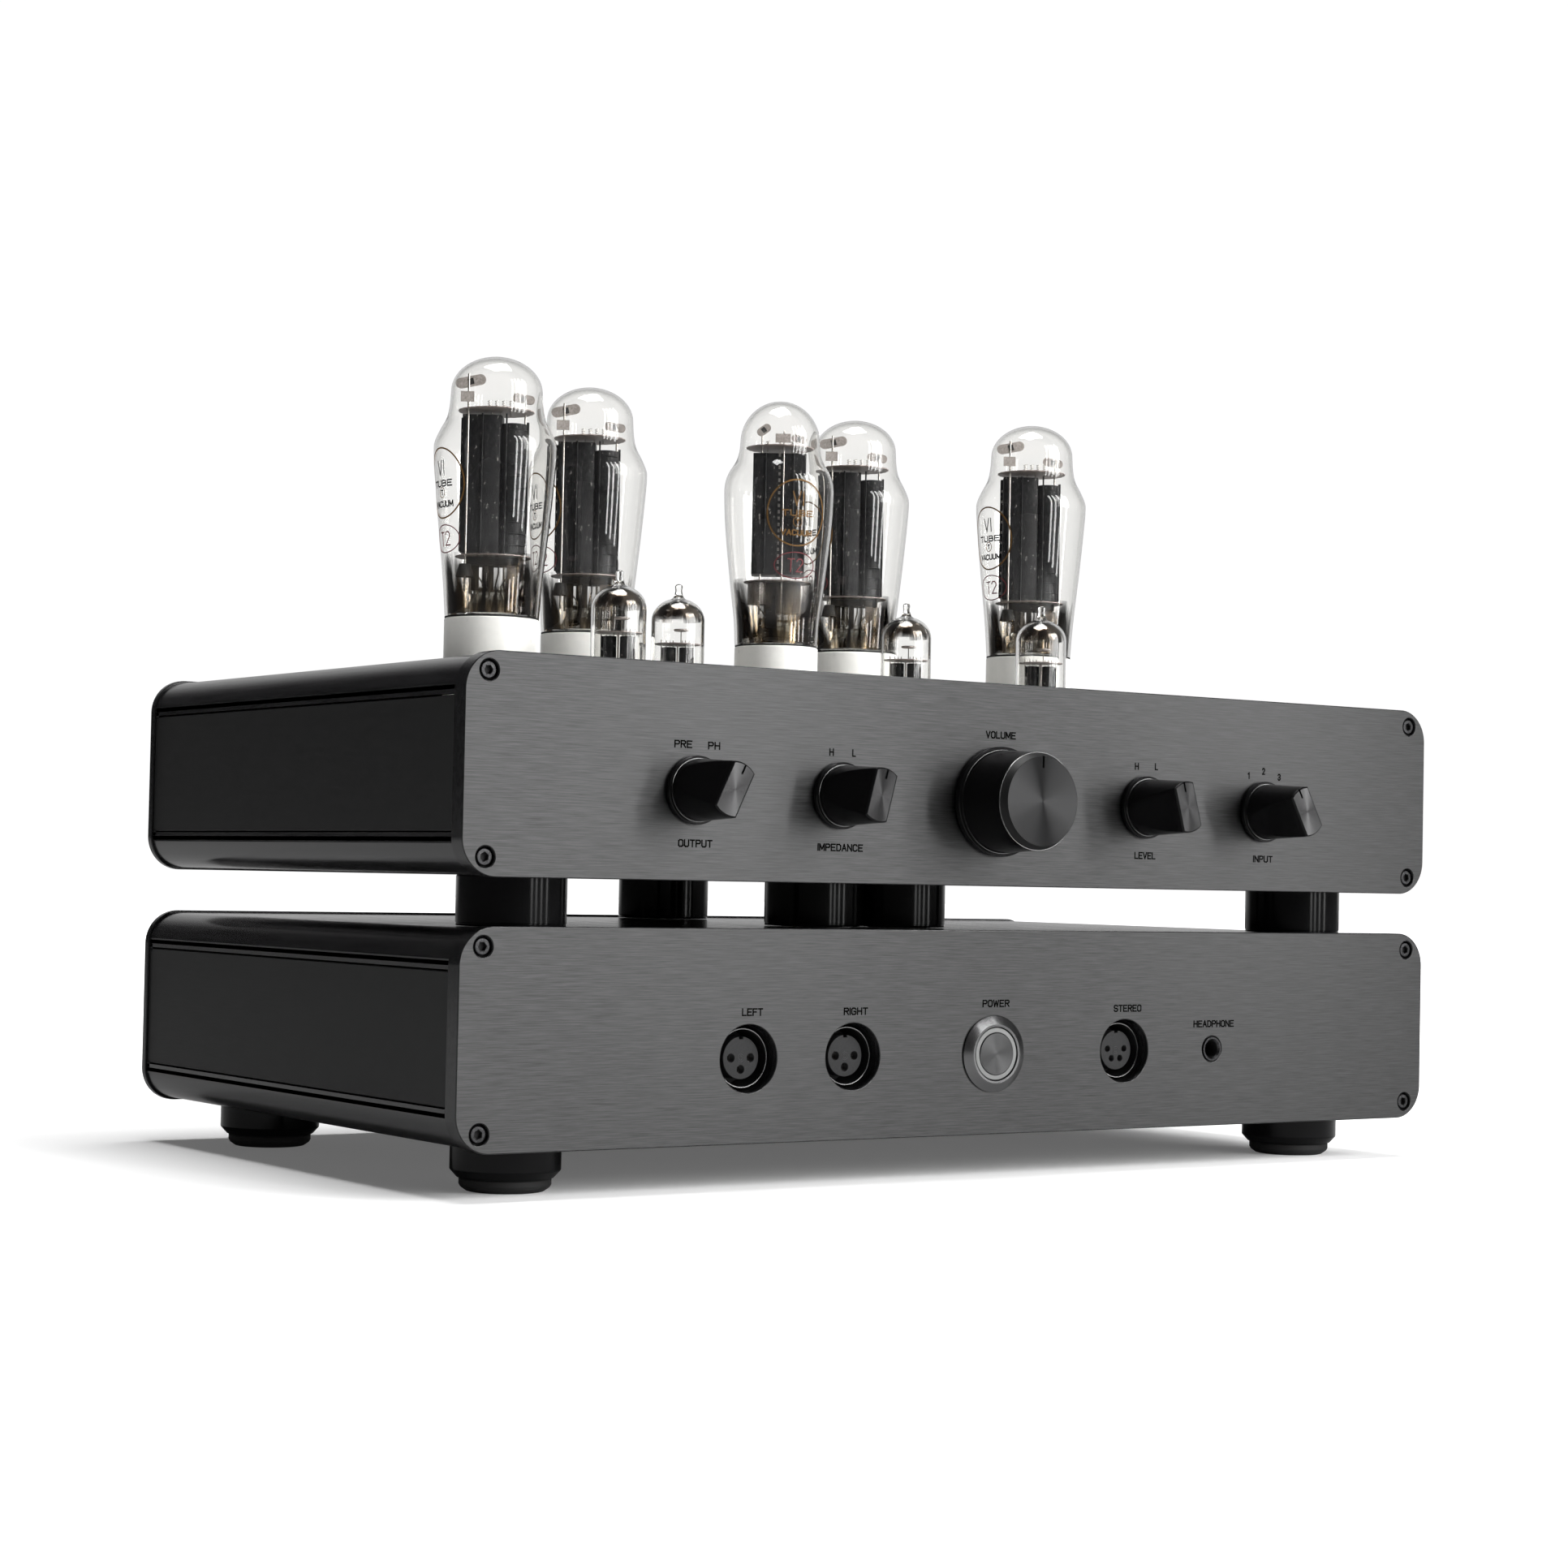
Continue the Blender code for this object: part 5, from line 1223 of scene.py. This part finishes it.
def bulb_emblem(name, outline, facing, height, ovals, words, dark):
    """Printed ovals in slots 0 and 1, and generic words in the slot dark."""
    s = Shape()
    for z, half_width, half_height, line, slot in ovals:
        printed_ring(s, outline, facing, height + z, half_width, half_height, line, slot)
    for text, z, width, tall, slot in words:
        printed_word(s, outline, facing, text, height + z, (width, tall), 0.5, dark if slot == 2 else slot)
    return s.mesh(name)


def add_tubes():
    insides = (ANODE, NICKEL, MICA, DARK, STEM_GLASS, GETTER_PLATE)
    large, small = tube_spots()
    four = [(math.pi / 4 + i * math.pi / 2, 10.5, 2.0) for i in range(4)]
    eight = [(math.pi / 8 + i * math.pi / 4, 8.7, 1.2) for i in range(8)]
    ovals = [(0, 12.2, 12.9, 0.6, 0), (-3.6, 1.7, 1.8, 0.3, 0), (-21.0, 8.4, 5.0, 0.4, 1)]
    words = [("VI", 5.6, 4.4, 5.4, 2), ("TUBE", -0.2, 13.0, 2.1, 2), ("T", -3.6, 1.1, 1.6, 2),
             ("VACUUM", -8.0, 13.0, 2.0, 2), ("T2", -21.0, 6.4, 5.0, 1)]
    power = (bulb("triode_bulb", POWER_OUTLINE, POWER_DOME), triode_inside(),
             tube_base_mesh("triode_base", *POWER_BASE, four), film("triode_flash", POWER_OUTLINE, 25.0),
             bulb_emblem("triode_emblem", POWER_OUTLINE, *POWER_PRINT, ovals, words, 2))
    rectifier = (bulb("rectifier_bulb", RECTIFIER_OUTLINE, RECTIFIER_DOME), rectifier_inside(),
                 tube_base_mesh("rectifier_tube_base", *RECTIFIER_BASE, eight),
                 film("rectifier_flash", RECTIFIER_OUTLINE, 22.0),
                 bulb_emblem("rectifier_emblem", RECTIFIER_OUTLINE, *RECTIFIER_PRINT, ovals, words, 0))
    for node, place in large.items():
        tube = node.removesuffix("_base")
        body = "rectifier_tube" if tube == "rectifier" else tube
        glass, inside, base, flash, emblem = rectifier if tube == "rectifier" else power
        at = (place.x, place.y, DECK)
        stand_in(tube + "_glass", glass, (GLASS,), at, body=body)
        stand_in(node, base, (CERAMIC, CONTACT, DARK), at, body=body)
        piece(tube + "_electrodes", inside, insides, body, at=at, crease=50)
        piece(tube + "_flash", flash, (FLASH,), body, at=at)
        piece(tube + "_emblem", emblem, (EMBLEM, EMBLEM_RED, INK), body, at=at)
    outside = [(DRIVER_RADIUS, -3.0), (DRIVER_RADIUS, 27.6), *half_dome(DRIVER_RADIUS, 27.6, 36.6, 12)[:-3]]
    nipple = smooth([(3.4, 36.0), (2.3, 36.7), (1.6, 38.0), (1.35, 39.6), (1.5, 41.0), (1.1, 41.9),
                     (0, 42.2)])
    inner = [(9.5, -3.0), (9.5, 27.6), *half_dome(9.5, 27.6, 35.6, 12)]
    s = Shape()
    s.turn(outside + nipple + inner[::-1], closed=True)
    glass = s.mesh("driver_bulb")
    s = Shape()
    s.turn([(r - 0.1, h - 0.05) for r, h in inner[1:]])
    s.points = [Vector((p.x, p.y, -p.z)) for p in s.points]
    mirror = s.mesh("driver_flash")
    inside = driver_inside()
    flip = Matrix.Rotation(math.pi, 4, "X")
    for tube, place in small.items():
        at = (place.x, place.y, DECK)
        stand_in(tube, glass, (GLASS,), at, body=tube)
        piece(tube + "_electrodes", inside, insides, tube, at=at, crease=50)
        piece(tube + "_flash", mirror, (SMALL_FLASH,), tube, at=at, turn=flip)


def add_sockets():
    """The board under the deck and its ceramic sockets, seen down the holes and when a tube is out."""
    rest = 2.05
    low, high = box("tube_socket_deck")
    s = Shape()
    s.block(low, (high.x, high.y, low.z + 2), 0)
    large, small = tube_spots()
    spots = [(m, 18.9, 14.3, DECK - 5.3) for m in large.values()]
    spots += [(m, 11.5, 8.4, DECK - 3.3) for m in small.values()]
    for place, outer, inner, top in spots:
        foot, spot = low.z + rest, Matrix.Translation((place.x, place.y, 0))
        s.turn([(inner, foot), (outer, foot), (outer, top - 0.6), (outer - 0.6, top), (inner + 0.4, top),
                (inner, top - 0.4)], 1, 64, True, spot)
        s.turn([(inner - 0.1, foot), (inner - 0.1, low.z + 4.0), (0, low.z + 4.0)], 2, 48, matrix=spot)
    piece("tube_sockets", s, (BOARD, CERAMIC, DARK), "chassis", "tube_socket_deck")


def finish_hidden_parts():
    """Materials for the CAD nodes that stay: parts inside the tiers, and the shafts."""
    boards = ("control_board", "supply_board")
    windings = ("power_transformer", "filter_choke", "output_transformer_left", "output_transformer_right")
    looks = {**dict.fromkeys(boards, BOARD), **dict.fromkeys(windings, LACQUER)}
    looks.update({f"{name}_shaft": STEEL for name in CONTROLS})
    for node, material in looks.items():
        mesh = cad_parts[node].data
        mesh.materials.clear()
        mesh.materials.append(material)


# Stage

WHITE = (1.0, 1.0, 1.0, 1.0)
FLOOR_REACH = 9000
DOME_DIRECTION = (0.6, -0.76, 0.24)
BACKDROP_DIRECTION = (0.57, 0.82, 0.0)
BACKDROP_STRENGTH = 1.02
LIGHT_TARGET = Vector((0.0, 0.0, 0.15))
WINDOW_AZIMUTHS = (8, 18, 30, 44)
WINDOW_DISTANCE = 2.2
CAMERA_LENS = 70.27
CAMERA_PLACE = Vector((-704.41, FRONT - 876.44, LOWER + 93.37)) * MM
CAMERA_RIGHT = Vector((0.82072805, -0.5709625, 0.02018174))
CAMERA_UP = Vector((-0.03345364, -0.01276361, 0.99935877))
CAMERA_AHEAD = Vector((0.57033879, 0.82087692, 0.02957622))


def add_floor():
    shape = Shape()
    shape.block((-FLOOR_REACH, -FLOOR_REACH, -20), (FLOOR_REACH, FLOOR_REACH, 0))
    made = Shader("pale_floor", (0.93, 0.93, 0.93), 0.9)
    made.set("Emission Color", WHITE)
    # The floor glows, which is painted light: 0.12 within 0.3 m of the middle, rising to 0.6 at 1 m and 1.3
    # at 3 m.
    away = made.node("ShaderNodeVectorMath", {0: made.coordinates()}, operation="LENGTH").outputs["Value"]
    far = made.spread(away, 0.0, 0.7, 1.0, 3.0)
    near = made.spread(away, 0.12, 0.6, 0.3, 1.0)
    glow = made.node("ShaderNodeMath", {0: near, 1: far}).outputs[0]
    # In glossy reflections the floor glows at a twentieth of that and its colour turns to 0.4 grey: a painted
    # darkening of its reflection.
    depth = made.node("ShaderNodeLightPath").outputs["Glossy Depth"]
    glossy = made.spread(depth, 0.0, 1.0, 0.0, 1.0)
    share = made.spread(glossy, 1.0, 0.05, 0.0, 1.0)
    pale = made.ramp(made.noise((3, 3, 3)), [(0.3, (0.92, 0.92, 0.92)), (0.7, (0.94, 0.94, 0.94))])
    shade = made.node("ShaderNodeMixRGB", {0: glossy, 1: pale, 2: (0.4, 0.4, 0.4, 1.0)}, blend_type="MIX")
    made.feed("Base Color", shade.outputs[0])
    strength = made.node("ShaderNodeMath", {0: glow, 1: share}, operation="MULTIPLY").outputs[0]
    made.feed("Emission Strength", strength)
    floor = loose("floor", shape.mesh("floor"))
    floor.data.materials.append(made.material)


def add_world():
    """White behind the object, and a soft dome that is brighter to the front right than to the left."""
    world = bpy.data.worlds.new("studio")
    bpy.context.scene.world = world
    world.use_nodes = True
    tree = world.node_tree
    tree.nodes.clear()

    def node(kind, inputs=None, **settings):
        return add_node(tree, kind, inputs, **settings)

    def toward(direction, start, end, low, high):
        """From low to high as a ray turns towards the direction: start and end are cosines."""
        inputs = {0: view, 1: Vector(direction).normalized()}
        cosine = node("ShaderNodeVectorMath", inputs, operation="DOT_PRODUCT").outputs["Value"]
        inputs = {"Value": cosine, "From Min": start, "From Max": end, "To Min": low, "To Max": high}
        return node("ShaderNodeMapRange", inputs, interpolation_type="SMOOTHSTEP").outputs[0]

    def combine(operation, *values):
        return node("ShaderNodeMath", dict(enumerate(values)), operation=operation).outputs[0]

    view = node("ShaderNodeTexCoord").outputs["Generated"]
    path = node("ShaderNodeLightPath").outputs
    soft = toward(DOME_DIRECTION, 0.2, 1.0, 0.015, 0.19)
    behind = toward(BACKDROP_DIRECTION, 0.62, 0.86, 0.0, 0.6)
    inputs = {"Value": path["Transmission Depth"], "From Min": 0.5, "From Max": 1.5,
              "To Min": 0.0, "To Max": 0.1}
    inner = node("ShaderNodeMapRange", inputs).outputs[0]
    strength = combine("MULTIPLY_ADD", combine("ADD", behind, inner), path["Is Glossy Ray"], soft)
    dome = node("ShaderNodeBackground", {"Color": WHITE, "Strength": strength})
    white = node("ShaderNodeBackground", {"Color": WHITE, "Strength": BACKDROP_STRENGTH})
    straight = combine("LESS_THAN", combine("ADD", path["Glossy Depth"], path["Diffuse Depth"]), 0.5)
    through = combine("MULTIPLY", path["Is Transmission Ray"], straight)
    seen = combine("MAXIMUM", path["Is Camera Ray"], through)
    mix = node("ShaderNodeMixShader", {0: seen, 1: dome.outputs[0], 2: white.outputs[0]})
    node("ShaderNodeOutputWorld", {"Surface": mix.outputs[0]})


def add_light(name, place, size, power):
    light = bpy.data.lights.new(name, "AREA")
    light.shape = "RECTANGLE"
    light.size, light.size_y = size
    light.energy = power
    obj = loose(name, light)
    obj.location = place
    obj.rotation_euler = (LIGHT_TARGET - Vector(place)).to_track_quat("-Z", "Y").to_euler()
    obj.visible_camera = False
    return obj


def add_lights():
    add_light("overhead_softbox", (0.0, 0.05, 2.8), (1.5, 1.4), 84)
    for i, azimuth in enumerate(WINDOW_AZIMUTHS):
        place = polar(WINDOW_DISTANCE, math.radians(azimuth - 90), 0.95)
        add_light(f"window_panel_{i}", place, (0.14, 1.9), 9)
    fill = add_light("front_fill", (1.3, -1.7, 1.0), (1.2, 1.2), 62)
    fill.visible_glossy = False
    add_light("left_strip", (-2.2, -0.1, 0.8), (0.15, 1.2), 0.5)


def add_camera():
    camera = bpy.data.cameras.new("camera")
    camera.lens = CAMERA_LENS
    camera.sensor_width = 36.0
    camera.clip_start = 0.05
    camera.clip_end = 60.0
    obj = loose("camera", camera)
    basis = Matrix((CAMERA_RIGHT, CAMERA_UP, -CAMERA_AHEAD)).transposed().to_4x4()
    obj.matrix_world = Matrix.Translation(CAMERA_PLACE) @ basis
    bpy.context.scene.camera = obj


add_housings()
add_supports()
add_knobs()
add_front_fittings()
add_labels()
add_rear_fittings()
add_tubes()
add_sockets()
finish_hidden_parts()
add_floor()
add_world()
add_lights()
add_camera()
bpy.context.scene.view_settings.view_transform = "Standard"
